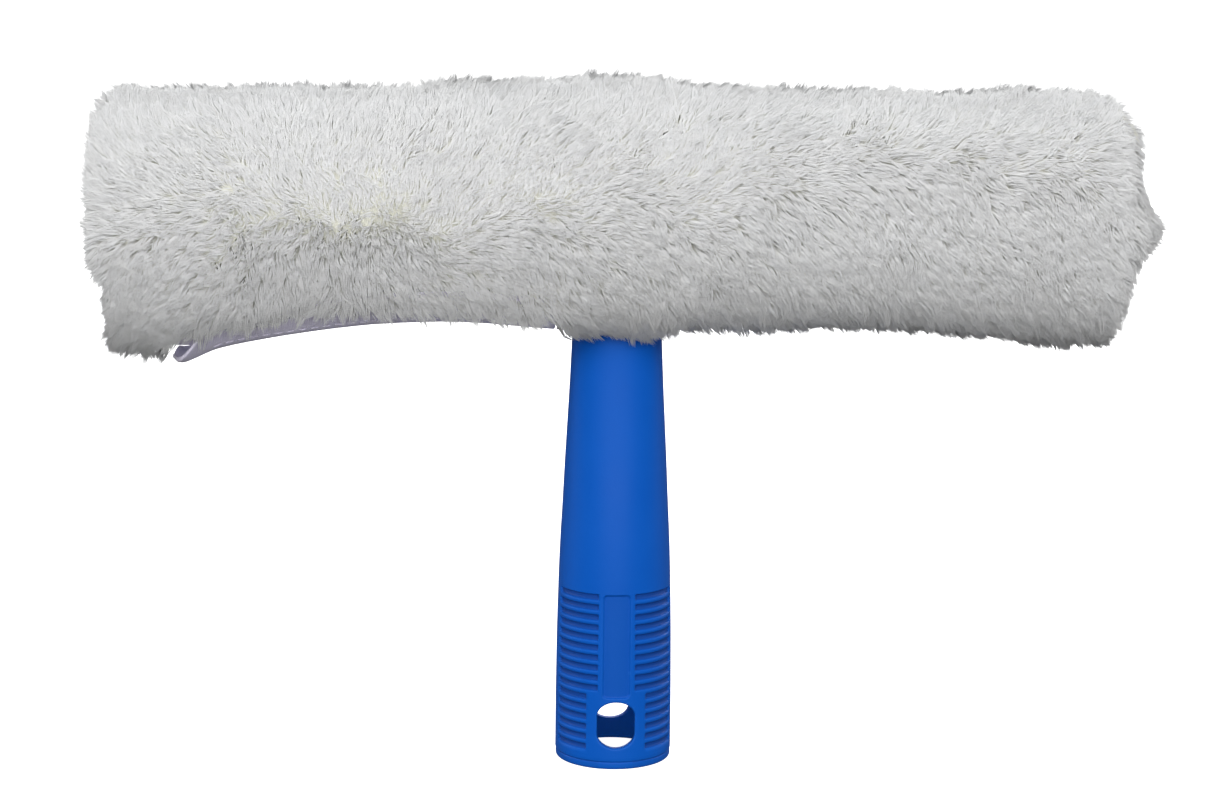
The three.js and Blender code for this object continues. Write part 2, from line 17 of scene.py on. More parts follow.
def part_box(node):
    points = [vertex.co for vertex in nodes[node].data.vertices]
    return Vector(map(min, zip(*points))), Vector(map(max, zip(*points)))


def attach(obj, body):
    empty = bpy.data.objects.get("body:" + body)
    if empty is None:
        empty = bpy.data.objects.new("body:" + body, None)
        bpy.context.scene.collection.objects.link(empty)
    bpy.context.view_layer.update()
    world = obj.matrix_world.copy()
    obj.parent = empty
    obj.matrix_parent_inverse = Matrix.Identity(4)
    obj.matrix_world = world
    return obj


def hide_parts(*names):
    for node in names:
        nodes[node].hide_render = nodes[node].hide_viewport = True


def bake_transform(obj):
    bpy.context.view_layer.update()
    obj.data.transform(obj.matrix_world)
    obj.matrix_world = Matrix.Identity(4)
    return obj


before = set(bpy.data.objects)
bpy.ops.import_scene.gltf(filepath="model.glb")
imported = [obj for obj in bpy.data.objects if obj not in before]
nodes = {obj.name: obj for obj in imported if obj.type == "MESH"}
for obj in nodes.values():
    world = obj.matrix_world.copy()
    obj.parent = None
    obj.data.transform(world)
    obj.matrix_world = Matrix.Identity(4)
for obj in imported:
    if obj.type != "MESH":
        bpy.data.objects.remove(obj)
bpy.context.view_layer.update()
mm = 0.001

# %% [markdown]
# The camera comes first, because every later choice is judged through it. The picture was taken with a
# long lens from a little above and a little to the left. A lens can be given as an angle or a focal length;
# here it is the focal length in pixels of the photograph, because that can be measured on the object.

# %% Camera
photo_width_px = 1214
focal_px = 2500
camera_distance = 0.617
camera_azimuth = math.radians(-3)
camera_elevation = math.radians(9.4)
camera_roll = math.radians(0.6)
camera_aim = Vector((-2.3 * mm, 0, 89.5 * mm))

camera_data = bpy.data.cameras.new("camera")
camera_data.lens = camera_data.sensor_width * focal_px / photo_width_px
camera = bpy.data.objects.new("camera", camera_data)
bpy.context.scene.collection.objects.link(camera)
away = Vector((
    math.sin(camera_azimuth) * math.cos(camera_elevation),
    -math.cos(camera_azimuth) * math.cos(camera_elevation),
    math.sin(camera_elevation),
))
turn = (-away).to_track_quat("-Z", "Y").to_matrix() @ Matrix.Rotation(camera_roll, 3, "Z")
camera.matrix_world = Matrix.Translation(camera_aim + camera_distance * away) @ turn.to_4x4()
bpy.context.scene.camera = camera
print("lens in mm:", round(camera_data.lens, 1))

# %% [markdown]
# Soft studio light has no edge: a dim room all round, and five large round panels. The front one shapes the
# pile, bright above and dim below; the others keep the far sides readable. A sun or a spot would draw hard
# shadows into the fleece, which the photograph doesn't have. The floor is a pale bowl that bends up into a
# wall on every side, so that no horizon shows. It glows white but throws no light back on the object, because
# light from below would flatten the pile.

# %% Light and floor
room_strength = 0.12
light_bounces = 16
floor_glow = 1
floor_radius = 2.6
floor_middle_radius = 0.001
floor_columns = 64
wall_height = 3
bend_radius = 0.9
bend_steps = 12
paper_white = 0.93
paper_roughness = 0.9
sleeve_middle = Vector((0, 0, 0.14))

scene = bpy.context.scene
scene.view_settings.view_transform = "Standard"
scene.cycles.use_denoising = True
scene.cycles.diffuse_bounces = light_bounces
scene.cycles.max_bounces = light_bounces
room = bpy.data.worlds.new("studio_room")
room.use_nodes = True
room_light = room.node_tree.nodes["Background"].inputs
room_light["Color"].default_value = (1, 1, 1, 1)
room_light["Strength"].default_value = room_strength
scene.world = room

for name, place, width, power, colour in (
    ("front_panel", (-0.05, -1.65, 0.84), 2.3, 38, (0.99, 0.995, 1)),
    ("top_panel", (0.05, -0.1, 1.4), 0.9, 1, (0.9, 0.94, 1)),
    ("left_panel", (-1.7, 0.3, 0.7), 1.5, 11, (1, 1, 1)),
    ("right_panel", (1.7, 0.45, 0.7), 1.5, 9, (1, 1, 1)),
    ("back_panel", (0.3, 1.6, 0.8), 2, 26, (1, 1, 1)),
):
    light = bpy.data.lights.new(name, "AREA")
    light.shape = "DISK"
    light.size = width
    light.energy = power
    light.color = colour
    panel = bpy.data.objects.new(name, light)
    panel.location = place
    panel.rotation_euler = (sleeve_middle - Vector(place)).to_track_quat("-Z", "Y").to_euler()
    scene.collection.objects.link(panel)


def new_mesh(name, points, faces):
    mesh = bpy.data.meshes.new(name)
    mesh.from_pydata([tuple(point) for point in points], [], [tuple(face) for face in faces])
    mesh.update()
    return mesh


def new_piece(name, mesh, material):
    mesh.materials.append(material)
    mesh.shade_smooth()
    piece = bpy.data.objects.new(name, mesh)
    scene.collection.objects.link(piece)
    return piece


def grid_faces(rows, columns, closed=False):
    """Four-sided faces over a grid of points that is stored row by row."""
    faces = []
    for row in range(rows - 1):
        for column in range(columns if closed else columns - 1):
            across = (column + 1) % columns
            faces.append((
                row * columns + column, row * columns + across,
                (row + 1) * columns + across, (row + 1) * columns + column,
            ))
    return faces


floor_profile = [(floor_middle_radius, 0), (floor_radius - bend_radius, 0)]
for step in range(1, bend_steps + 1):
    angle = math.radians(90 * step / bend_steps)
    floor_profile.append(
        (floor_radius + bend_radius * (math.sin(angle) - 1), bend_radius * (1 - math.cos(angle))))
floor_profile.append((floor_radius, wall_height))
floor_turns = [2 * math.pi * k / floor_columns for k in range(floor_columns)]
floor_points = [
    (radius * math.cos(turn), radius * math.sin(turn), z)
    for radius, z in floor_profile for turn in floor_turns]
floor_paint = bpy.data.materials.new("pale_paper")
floor_paint.use_nodes = True
paper = floor_paint.node_tree.nodes["Principled BSDF"].inputs
paper["Base Color"].default_value = (paper_white, paper_white, paper_white, 1)
paper["Roughness"].default_value = paper_roughness
paper["Emission Color"].default_value = (1, 1, 1, 1)
paper["Emission Strength"].default_value = floor_glow
floor_faces = grid_faces(len(floor_profile), floor_columns, closed=True) + [list(range(floor_columns))]
floor = new_piece("floor", new_mesh("floor", floor_points, floor_faces), floor_paint)
floor.visible_diffuse = False
floor.visible_glossy = False
print("light panels:", len(bpy.data.lights), "floor faces:", len(floor_faces))

# %% [markdown]
# Shared effects are node groups: small machines with named inputs that several materials plug in. Each puts
# out only what changes over a surface, such as a height or a mask. The shader itself stays in the material,
# where whatever is the same all over is typed on its own socket.

# %% Tools for node groups and materials
def start_group(name, inputs, outputs):
    group = bpy.data.node_groups.new(name, "ShaderNodeTree")
    for socket_name, value in inputs:
        socket = group.interface.new_socket(socket_name, in_out="INPUT", socket_type="NodeSocketFloat")
        socket.default_value = value
    for socket_name in outputs:
        group.interface.new_socket(socket_name, in_out="OUTPUT", socket_type="NodeSocketFloat")
    return group, group.nodes.new("NodeGroupInput").outputs, group.nodes.new("NodeGroupOutput").inputs


def feed(tree, source, socket):
    """Links a socket to another, or sets it where the source is a plain value."""
    if isinstance(source, bpy.types.NodeSocket):
        tree.links.new(source, socket)
    else:
        socket.default_value = source


def arithmetic(tree, operation, *values):
    node = tree.nodes.new("ShaderNodeMath")
    node.operation = operation
    for value, socket in zip(values, node.inputs):
        feed(tree, value, socket)
    return node.outputs["Value"]


def noise_of(tree, coordinates, scale, detail):
    node = tree.nodes.new("ShaderNodeTexNoise")
    feed(tree, coordinates, node.inputs["Vector"])
    feed(tree, scale, node.inputs["Scale"])
    feed(tree, detail, node.inputs["Detail"])
    return node.outputs["Fac"]


def spread(tree, value, low, high, new_low, new_high):
    """Maps a range of a value onto another range, and cuts off what lies outside."""
    node = tree.nodes.new("ShaderNodeMapRange")
    for source, socket in zip((value, low, high, new_low, new_high), node.inputs):
        feed(tree, source, socket)
    return node.outputs["Result"]


def colour_between(tree, share, first, second):
    node = tree.nodes.new("ShaderNodeMix")
    node.data_type = "RGBA"
    feed(tree, share, node.inputs[0])
    for colour, socket in ((first, node.inputs[6]), (second, node.inputs[7])):
        feed(tree, colour if isinstance(colour, bpy.types.NodeSocket) else (*colour, 1), socket)
    return node.outputs[2]


def bumped(tree, height, depth, under=None):
    node = tree.nodes.new("ShaderNodeBump")
    feed(tree, height, node.inputs["Height"])
    node.inputs["Distance"].default_value = depth
    if under is not None:
        feed(tree, under, node.inputs["Normal"])
    return node.outputs["Normal"]


def place_group(tree, group, **values):
    node = tree.nodes.new("ShaderNodeGroup")
    node.node_tree = group
    for name, value in values.items():
        feed(tree, value, node.inputs[name])
    return node.outputs


def start_material(name, roughness):
    material = bpy.data.materials.new(name)
    material.use_nodes = True
    shader = material.node_tree.nodes["Principled BSDF"]
    shader.inputs["Roughness"].default_value = roughness
    return material, material.node_tree, shader.inputs


def object_coordinates(tree):
    return tree.nodes.new("ShaderNodeTexCoord").outputs["Object"]


# %% [markdown]
# Moulded plastic isn't smooth close up. The mould leaves an orange peel of about half a millimetre, the
# colour clouds a little, and edges that hands rub grow paler. All three serve the handle and the bar, so
# they live in one group.

# %% Node group: moulded surface
moulding, moulding_in, moulding_out = start_group(
    "moulded_surface", [("Peel Scale", 1800), ("Cloud Scale", 60), ("Wear", 0.5)],
    ["Peel", "Cloud", "Worn Edge"])
where = object_coordinates(moulding)
feed(moulding, noise_of(moulding, where, moulding_in["Peel Scale"], 2), moulding_out["Peel"])
feed(moulding, noise_of(moulding, where, moulding_in["Cloud Scale"], 4), moulding_out["Cloud"])
sharpness = moulding.nodes.new("ShaderNodeNewGeometry").outputs["Pointiness"]
edge_mask = spread(moulding, sharpness, 0.52, 0.6, 0.0, 1.0)
broken_edge = arithmetic(moulding, "MULTIPLY", edge_mask, noise_of(moulding, where, 400, 3))
feed(moulding, arithmetic(moulding, "MULTIPLY", broken_edge, moulding_in["Wear"]), moulding_out["Worn Edge"])

# %% [markdown]
# A woven tape is two sets of threads that cross. Two wave patterns at right angles, each read along the
# strip's own length and width, give the threads; their product is the height of the cloth. The strip's
# coordinates are in metres, so a thread keeps its size on every piece.

# %% Node group: woven threads
weaving, weaving_in, weaving_out = start_group(
    "woven_threads", [("Threads", 2000), ("Slub", 0.3)], ["Height", "Thread"])
strip_place = weaving.nodes.new("ShaderNodeUVMap")
strip_place.uv_map = "strip"
split = weaving.nodes.new("ShaderNodeSeparateXYZ")
feed(weaving, strip_place.outputs["UV"], split.inputs[0])
bends = []
for direction in ("X", "Y"):
    turns = arithmetic(weaving, "MULTIPLY", split.outputs[direction], weaving_in["Threads"])
    wave = arithmetic(weaving, "SINE", arithmetic(weaving, "MULTIPLY", turns, math.pi))
    bends.append(arithmetic(weaving, "ABSOLUTE", wave))
threads = arithmetic(weaving, "MULTIPLY", bends[0], bends[1])
slub = arithmetic(weaving, "MULTIPLY", noise_of(weaving, strip_place.outputs["UV"], 500, 3), weaving_in["Slub"])
feed(weaving, arithmetic(weaving, "ADD", threads, slub), weaving_out["Height"])
feed(weaving, threads, weaving_out["Thread"])


# %% [markdown]
# The finishes. Blue polypropylene has a soft, wide shine, and its grooves get a darker colour as painted shade.
# The fleece gets its colour from two numbers that every strand carries: how near a point is to the strand's
# tip, and a tone of its own. Roots are cream, because little light reaches them and polyester yellows there;
# tips are white.

# %% Materials
def moulded_plastic(name, colour, deep_colour, worn_colour, groove_shade_colour):
    material, tree, shader = start_material(name, 0.45)
    surface = place_group(tree, moulding, Wear=0.35)
    clouded = colour_between(tree, surface["Cloud"], deep_colour, colour)
    # Grooves, and the panel more weakly, get a darker colour through sunk_share: painted shade in the recesses.
    sunk = tree.nodes.new("ShaderNodeAttribute")
    sunk.attribute_name = "sunk_share"
    groove_shaded = colour_between(tree, sunk.outputs["Fac"], clouded, groove_shade_colour)
    feed(tree, colour_between(tree, surface["Worn Edge"], groove_shaded, worn_colour), shader["Base Color"])
    feed(tree, spread(tree, surface["Cloud"], 0.3, 0.7, 0.4, 0.5), shader["Roughness"])
    feed(tree, bumped(tree, surface["Peel"], 0.02 * mm), shader["Normal"])
    shader["Specular IOR Level"].default_value = 0.14
    return material


# The last colour of each plastic is the painted shade for grooves and panel.
handle_plastic = moulded_plastic(
    "blue_handle_plastic", (0.003, 0.125, 0.63), (0.002, 0.105, 0.56), (0.02, 0.18, 0.7), (0.008, 0.07, 0.36))
bar_plastic = moulded_plastic(
    "blue_bar_plastic", (0.004, 0.1, 0.5), (0.003, 0.085, 0.44), (0.03, 0.16, 0.58), (0.008, 0.06, 0.3))

screw_steel, tree, shader = start_material("screw_steel", 0.3)
shader["Metallic"].default_value = 1
brushed = noise_of(tree, object_coordinates(tree), 3000, 2)
feed(tree, colour_between(tree, brushed, (0.45, 0.45, 0.47), (0.66, 0.66, 0.67)), shader["Base Color"])
feed(tree, spread(tree, brushed, 0.3, 0.7, 0.24, 0.42), shader["Roughness"])
feed(tree, bumped(tree, brushed, 0.01 * mm), shader["Normal"])


def fleece(name, root_colour, tip_colour, tip_tint):
    material, tree, shader = start_material(name, 0.75)
    along = tree.nodes.new("ShaderNodeAttribute")
    along.attribute_name = "tip_share"
    tone = tree.nodes.new("ShaderNodeAttribute")
    tone.attribute_name = "lock_tone"
    tips = colour_between(tree, tone.outputs["Fac"], tip_colour, tip_tint)
    rise = spread(tree, along.outputs["Fac"], 0.1, 0.6, 0.0, 1.0)
    feed(tree, colour_between(tree, rise, root_colour, tips), shader["Base Color"])
    shader["Specular IOR Level"].default_value = 0.2
    return material


pile_fleece = fleece("white_fleece", (0.98, 0.975, 0.87), (0.99, 0.99, 0.98), (0.975, 0.98, 0.98))


def woven(name, colour, shade, threads, depth, roughness=0.8):
    material, tree, shader = start_material(name, roughness)
    cloth = place_group(tree, weaving, Threads=threads)
    feed(tree, colour_between(tree, cloth["Thread"], shade, colour), shader["Base Color"])
    feed(tree, bumped(tree, cloth["Height"], depth), shader["Normal"])
    shader["Sheen Weight"].default_value = 0.2
    return material


lilac_tape = woven("lilac_woven_tape", (0.9, 0.86, 0.99), (0.83, 0.78, 0.96), 2400, 0.03 * mm)
backing_cloth = woven("white_backing", (0.72, 0.72, 0.74), (0.55, 0.55, 0.58), 1300, 0.12 * mm, 0.9)
grip_tape = woven("grip_tape", (0.66, 0.66, 0.74), (0.45, 0.45, 0.54), 900, 0.3 * mm, 0.85)
print("materials:", len(bpy.data.materials))

# %% [markdown]
# The handle is one moulding: a round grip that narrows and flattens upwards, 16 grooves in each of four
# quarters, a shallow panel, a hang hole through both walls, and a hollow socket. It could be cut with
# boolean tools, but their edges come out razor sharp. Here it is a single net of rings and columns instead.
# Rings and columns crowd where an edge runs, so every groove gets its small fillet.

# %% Measure the frame's handle
groove_count = 16
short_groove_count = 6
first_groove_height = 5.5 * mm
groove_pitch = 2.53 * mm
groove_height = 1.36 * mm
groove_depth = 0.55 * mm
groove_outer_angle = 72.5
groove_inner_angle = 19
short_groove_inner_angle = 31
panel_half_width = 3.32 * mm
panel_low = 18.2 * mm
panel_high = 44 * mm
panel_corner = 1 * mm
panel_depth = 0.5 * mm
panel_reach_angle = 30
fillet = 0.17 * mm
wall = 2.3 * mm
socket_depth = 100 * mm
lip_line_height = 1.9 * mm
lip_line_depth = 0.22 * mm
lip_line_half_width = 0.16 * mm
lip_line_fillet = 0.1 * mm
lip_step = 0.12 * mm
rim_round = 0.55 * mm
tongue_gap = 0.3 * mm
measured_count = 24
least_wall_reach = 5 * mm
far = 0.3


def tree_of(piece):
    """The faces of a piece, sorted so that rays and nearest points are found fast."""
    return BVHTree.FromPolygons([v.co for v in piece.data.vertices], [p.vertices for p in piece.data.polygons])


def reach(tree, place, direction):
    """Where a ray that starts far outside first meets a node of the frame."""
    return tree.ray_cast(Vector(place) - far * Vector(direction), Vector(direction))[0]


def smooth_through(places, values):
    """A smooth curve through measured values, as a function of place."""
    slopes = np.gradient(values, places)

    def curve(place):
        place = np.clip(place, places[0], places[-1])
        i = np.clip(np.searchsorted(places, place, side="right") - 1, 0, len(places) - 2)
        step = places[i + 1] - places[i]
        t = (place - places[i]) / step
        blend_in = t * t * (3 - 2 * t)
        return (values[i] * (1 - blend_in) + values[i + 1] * blend_in
                + step * t * (1 - t) * (slopes[i] * (1 - t) - slopes[i + 1] * t))
    return curve


handle_tree = tree_of(nodes["handle"])
neck_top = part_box("t_bar")[0].z - tongue_gap
measured_heights = np.linspace(1 * mm, neck_top - 1 * mm, measured_count)
half_widths = np.array([reach(handle_tree, (0, 0, z), (-1, 0, 0)).x for z in measured_heights])
half_depths = []
for z in measured_heights:
    hit = reach(handle_tree, (0, 0, z), (0, -1, 0))
    in_hole = hit is None or hit.y < least_wall_reach
    half_depths.append(reach(handle_tree, (0, 0, z), (-1, 0, 0)).x if in_hole else hit.y)
handle_half_width = smooth_through(measured_heights, half_widths)
handle_half_depth = smooth_through(measured_heights, np.array(half_depths))
print("rim and neck widths in mm:", round(2 * half_widths[0] / mm, 1), round(2 * half_widths[-1] / mm, 1))

# %% [markdown]
# Everything shallow on the handle is one number per place: how far the surface is sunk there. Grooves, panel
# and the fine line round the lip each add their share, with edges that ease over the width of a fillet.


# %% Relief of the handle's outside
def soft_step(value, low, high):
    """From 0 to 1 between two values, with no corner at either end."""
    t = np.clip((value - low) / (high - low), 0, 1)
    return t * t * (3 - 2 * t)


def step_up(value, edge, width=fillet):
    return soft_step(value, edge - width, edge + width)


def relief(angle, z):
    """How far the surface lies under the plain form, at an angle from the front in degrees, and a height."""
    folded = abs(angle) if abs(angle) <= 90 else 180 - abs(angle)
    degree_width = math.degrees(fillet / handle_half_width(z))
    depth = 0.0
    groove = round((z - first_groove_height) / groove_pitch)
    if 0 <= groove < groove_count:
        middle = first_groove_height + groove * groove_pitch
        inner = short_groove_inner_angle if groove < short_groove_count else groove_inner_angle
        across = step_up(groove_height / 2 - abs(z - middle), 0)
        along = step_up(folded, inner, degree_width) * step_up(groove_outer_angle - folded, 0, degree_width)
        depth += groove_depth * across * along
    if abs(angle) < panel_reach_angle and panel_low - fillet < z < panel_high + fillet:
        x = handle_half_width(z) * math.sin(math.radians(angle))
        out_x = abs(x) - (panel_half_width - panel_corner)
        out_z = abs(z - (panel_low + panel_high) / 2) - ((panel_high - panel_low) / 2 - panel_corner)
        distance = math.hypot(max(out_x, 0), max(out_z, 0)) + min(max(out_x, out_z), 0) - panel_corner
        depth += panel_depth * step_up(-distance, 0)
    depth += lip_line_depth * (1 - step_up(abs(z - lip_line_height), lip_line_half_width, lip_line_fillet))
    if z < lip_line_height:
        depth += lip_step
    if z < rim_round:
        depth += rim_round - math.sqrt(max(rim_round ** 2 - (rim_round - z) ** 2, 0))
    return depth


def handle_point(angle, z, inset):
    turn = math.radians(angle)
    return (
        (handle_half_width(z) - inset) * math.sin(turn),
        -(handle_half_depth(z) - inset) * math.cos(turn),
        z,
    )


quarter = {
    0, 3, 6, 8.5, 9.7, 10.9, 11.9, 12.7, 13.4, 14.1, 15, 16.5, 22, 25, 28, 35, 39, 43, 47, 51, 55, 59, 63,
    66, 69.5, 76, 80, 85, 90}
for edge in (groove_inner_angle, short_groove_inner_angle, groove_outer_angle):
    quarter |= {edge + shift for shift in (-0.7, -0.25, 0.25, 0.7)}
front_angles = sorted(quarter | {-angle for angle in quarter})
angles = front_angles + [180 + angle for angle in front_angles[1:-1]]

least_height_step = 0.03 * mm
heights = {0.08 * mm, 0.25 * mm, rim_round, 3.1 * mm, 3.8 * mm}
heights |= {lip_line_height + shift * mm for shift in (-0.35, -0.2, -0.1, 0, 0.1, 0.2, 0.35)}
for groove in range(groove_count):
    middle = first_groove_height + groove * groove_pitch
    for edge in (middle - groove_height / 2, middle + groove_height / 2):
        heights |= {edge + shift * fillet for shift in (-1, -0.35, 0.35, 1)}
    heights |= {middle, middle + groove_pitch / 2}
for edge in (panel_low, panel_high):
    heights |= {edge + shift * mm for shift in (-0.4, -0.17, -0.06, 0.06, 0.17, 0.4)}
heights |= set(np.linspace(46.5 * mm, neck_top, 36))
heights = sorted(heights)
outer_heights = [z for last, z in zip([-1] + heights, heights) if z - last > least_height_step]
print("handle rings and columns:", len(outer_heights), len(angles))

# %% [markdown]
# The hang hole would break the net, so a patch of it is left out on each face, and rings that change
# step by step from the patch's square border to the hole's round outline fill it in. The same happens on
# the inside of the wall, and a short tunnel joins the two, with its edges rounded.

# %% Build the handle
hole_half_width = 4.65 * mm
hole_half_height = 5.85 * mm
hole_straight = 2.2 * mm
hole_middle = 11.2 * mm
hole_round = 0.45 * mm
hole_round_steps = (0.35, 0.7, 1)
halvings = 30
widest_hole = 20 * mm
patch_angle = 28
patch_low = 3.8 * mm
patch_high = 17.6 * mm
patch_steps = 7
patch_ease = 0.8
rim_edge = 0.75 * mm
socket_end = 9 * mm
weld_distance = 0.002 * mm
snap = 1e-6

inner_heights = [z for z in outer_heights if 3 * mm < z < 19 * mm]
inner_heights = [0.5 * mm, 1.5 * mm] + inner_heights + list(np.linspace(22 * mm, socket_depth, 14))
rings = []
rings += [("inner", socket_depth, wall + shrink * socket_end) for shrink in (0.95, 0.5, 0.12)]
rings += [("inner", z, wall) for z in reversed(inner_heights)]
rings += [("rim", 0.15 * mm, wall - 0.4 * mm), ("rim", 0.0, wall - rim_edge), ("rim", 0.0, rim_edge)]
rings += [("outer", z, 0.0) for z in outer_heights]
rings += [("cap", neck_top, 1 * mm), ("cap", neck_top, 7 * mm)]

handle_points = []
for kind, z, inset in rings:
    for angle in angles:
        handle_points.append(handle_point(angle, z, relief(angle, z) if kind == "outer" else inset))
columns = len(angles)
patch_start = min(outer_heights, key=lambda z: abs(z - patch_low)) - snap
patch_end = min(outer_heights, key=lambda z: abs(z - patch_high)) + snap


def in_patch(row, column):
    (kind, z, inset), (next_kind, next_z, next_inset) = rings[row:row + 2]
    first, second = angles[column], angles[(column + 1) % columns]
    middle = (first + second + (360 if second < first else 0)) / 2
    off_axis = min(abs(middle), abs(middle - 180), abs(middle - 360))
    return (kind == next_kind and kind in ("outer", "inner") and off_axis < patch_angle
            and min(z, next_z) >= patch_start and max(z, next_z) <= patch_end)


def quads_between(first, second):
    """Faces between two closed loops of point numbers."""
    count = len(first)
    return [(first[k], first[(k + 1) % count], second[(k + 1) % count], second[k]) for k in range(count)]


net = grid_faces(len(rings), columns, closed=True)
handle_faces = [face for number, face in enumerate(net) if not in_patch(*divmod(number, columns))]
for end_row in (0, len(rings) - 1):
    cap = [end_row * columns + column for column in range(columns)]
    handle_faces.append(cap if end_row else cap[::-1])


def hole_outline(angle, grow):
    """The hang hole's outline in a direction from its middle, found by halving."""
    direction = (math.cos(angle), math.sin(angle))
    half_width, round_height = hole_half_width + grow, hole_half_height - hole_straight + grow
    low, high = 0.0, widest_hole
    for halving in range(halvings):
        middle = (low + high) / 2
        x, z = middle * direction[0], middle * direction[1]
        end_z = max(abs(z) - hole_straight, 0)
        inside = (x / half_width) ** 2 + (end_z / round_height) ** 2 < 1
        low, high = (middle, high) if inside else (low, middle)
    return low * direction[0], low * direction[1] + hole_middle


def surface_y(face, x, z, inset):
    """The plain wall's place in Y over a point of the front (-1) or back (1) face."""
    share = min(abs(x) / (handle_half_width(z) - inset), 0.999)
    return face * (handle_half_depth(z) - inset) * math.sqrt(1 - share ** 2)


for face in (-1, 1):
    middle_angle = 0 if face < 0 else 180
    patch_columns = [c for c in range(columns) if abs(angles[c] - middle_angle) <= patch_angle + 0.01]
    tunnel = []
    for kind in ("outer", "inner"):
        rows = [row for row, (k, z, inset) in enumerate(rings) if k == kind and patch_start <= z <= patch_end]
        rows.sort(key=lambda row: rings[row][1])
        border = [(rows[0], c) for c in patch_columns]
        border += [(row, patch_columns[-1]) for row in rows[1:]]
        border += [(rows[-1], c) for c in patch_columns[-2::-1]]
        border += [(row, patch_columns[0]) for row in rows[-2:0:-1]]
        indices = [row * columns + c for row, c in border]
        inset = 0.0 if kind == "outer" else wall
        corners = [handle_points[index] for index in indices]
        directions = [math.atan2(z - hole_middle, x) for x, y, z in corners]
        loops = [indices]
        for step in range(1, patch_steps + 1):
            share = (step / patch_steps) ** patch_ease
            loop = []
            for (start_x, start_y, start_z), direction in zip(corners, directions):
                goal_x, goal_z = hole_outline(direction, hole_round)
                x = start_x + (goal_x - start_x) * share
                z = start_z + (goal_z - start_z) * share
                loop.append(len(handle_points))
                handle_points.append((x, surface_y(face, x, z, inset), z))
            loops.append(loop)
        side = 1 if kind == "outer" else -1
        for turn_share in hole_round_steps:
            quarter_turn = math.radians(90 * turn_share)
            loop = []
            for direction in directions:
                x, z = hole_outline(direction, hole_round * (1 - math.sin(quarter_turn)))
                sunk = hole_round * (1 - math.cos(quarter_turn))
                y = surface_y(face, x, z, inset) - side * face * sunk
                loop.append(len(handle_points))
                handle_points.append((x, y, z))
            loops.append(loop)
        for first, second in zip(loops, loops[1:]):
            handle_faces += quads_between(first, second)
        tunnel.append(loops[-1])
    handle_faces += quads_between(*tunnel)

handle_mesh = new_mesh("handle_moulding", handle_points, handle_faces)
handle_mesh.validate()


def face_outwards(mesh):
    """Welds a mesh, turns its faces outwards and counts its open edges."""
    work = bmesh.new()
    work.from_mesh(mesh)
    bmesh.ops.remove_doubles(work, verts=work.verts, dist=weld_distance)
    bmesh.ops.recalc_face_normals(work, faces=work.faces)
    open_edges = sum(1 for edge in work.edges if len(edge.link_faces) != 2)
    work.to_mesh(mesh)
    work.free()
    return open_edges


print("handle: faces", len(handle_mesh.polygons), "open edges", face_outwards(handle_mesh))


def sunk_share(place):
    """How deep a point of the outside lies in a groove or in the panel, from 0 to 1."""
    x, y, z = place
    across, along = x / handle_half_width(z), -y / handle_half_depth(z)
    if z > panel_high + fillet or math.hypot(across, along) < 0.9:
        return 0.0
    angle = math.degrees(math.atan2(across, along))
    in_panel = 0.25 if abs(angle) < groove_inner_angle - 1 else 1
    return in_panel * min(relief(angle, z) / groove_depth, 1)


# This share sets where the plastic's colour is painted darker, as shade in the grooves and the panel.
sunk_values = [sunk_share(vertex.co) for vertex in handle_mesh.vertices]
handle_mesh.attributes.new("sunk_share", "FLOAT", "POINT").data.foreach_set("value", sunk_values)
handle = new_piece("handle_moulding", handle_mesh, handle_plastic)
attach(handle, "tool")
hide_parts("handle")

# %% [markdown]
# Bar and screws are crisp pieces that mostly hide in the sleeve, so they keep the frame's solids. Only their
# edges are softened, the way a mould's radius or a turned head softens them.

# %% Bar and screws
for name, material, slot_name, edge_round in (
    ("t_bar", bar_plastic, "bar_plastic", 0.4 * mm),
    ("fixing_screw_lower", screw_steel, "screw_steel", 0.15 * mm),
    ("fixing_screw_upper", screw_steel, "screw_steel", 0.15 * mm),
):
    node = nodes[name]
    node.data.materials.clear()
    node.data.materials.append(material)
    weld = node.modifiers.new("weld", "WELD")
    weld.merge_threshold = 0.001 * mm
    soften = node.modifiers.new("soften", "BEVEL")
    soften.width = edge_round
    soften.segments = 2
    soften.limit_method = "ANGLE"
    soften.angle_limit = math.radians(40)
    soften.harden_normals = True
    print(name, "faces:", len(node.data.polygons))

# %% [markdown]
# The fleece is modelled, not painted: nearly nineteen thousand pointed locks, each of 17 strands. The frame's
# solid has the form of the pile as a whole. Rays measure it, and the measures make a guide surface: a net of
# rings along the sleeve that every lock can be planted on.

# %% Measure the pile
pile_roundness = 3
guide_columns = 96
mouth_stations = np.array((0.05, 0.5, 1.2, 2.3, 3.6, 5)) * mm
toe_stations = np.array((13, 11, 9.2, 7.6, 6, 4.6, 3.3, 2.2, 1.2, 0.5, 0.1)) * mm
body_step = 4 * mm
probe_share = 0.62
backing_thickness = 1.6 * mm
clearance = 0.4 * mm
strip_margin = 2 * mm
hem_margin = 1.5 * mm

pile_tree = tree_of(nodes["sleeve_pile"])
pile_low, pile_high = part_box("sleeve_pile")
bar_low, bar_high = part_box("t_bar")
flap_low, flap_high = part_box("closure_flap")
hem_low, hem_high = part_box("flap_hem")
seam_low, seam_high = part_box("seam_tape")
slot_low, slot_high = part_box("slot_binding")
liner_low, liner_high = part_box("sleeve_liner")
liner_tree = tree_of(nodes["sleeve_liner"])
bar_middle = (bar_low.z + bar_high.z) / 2


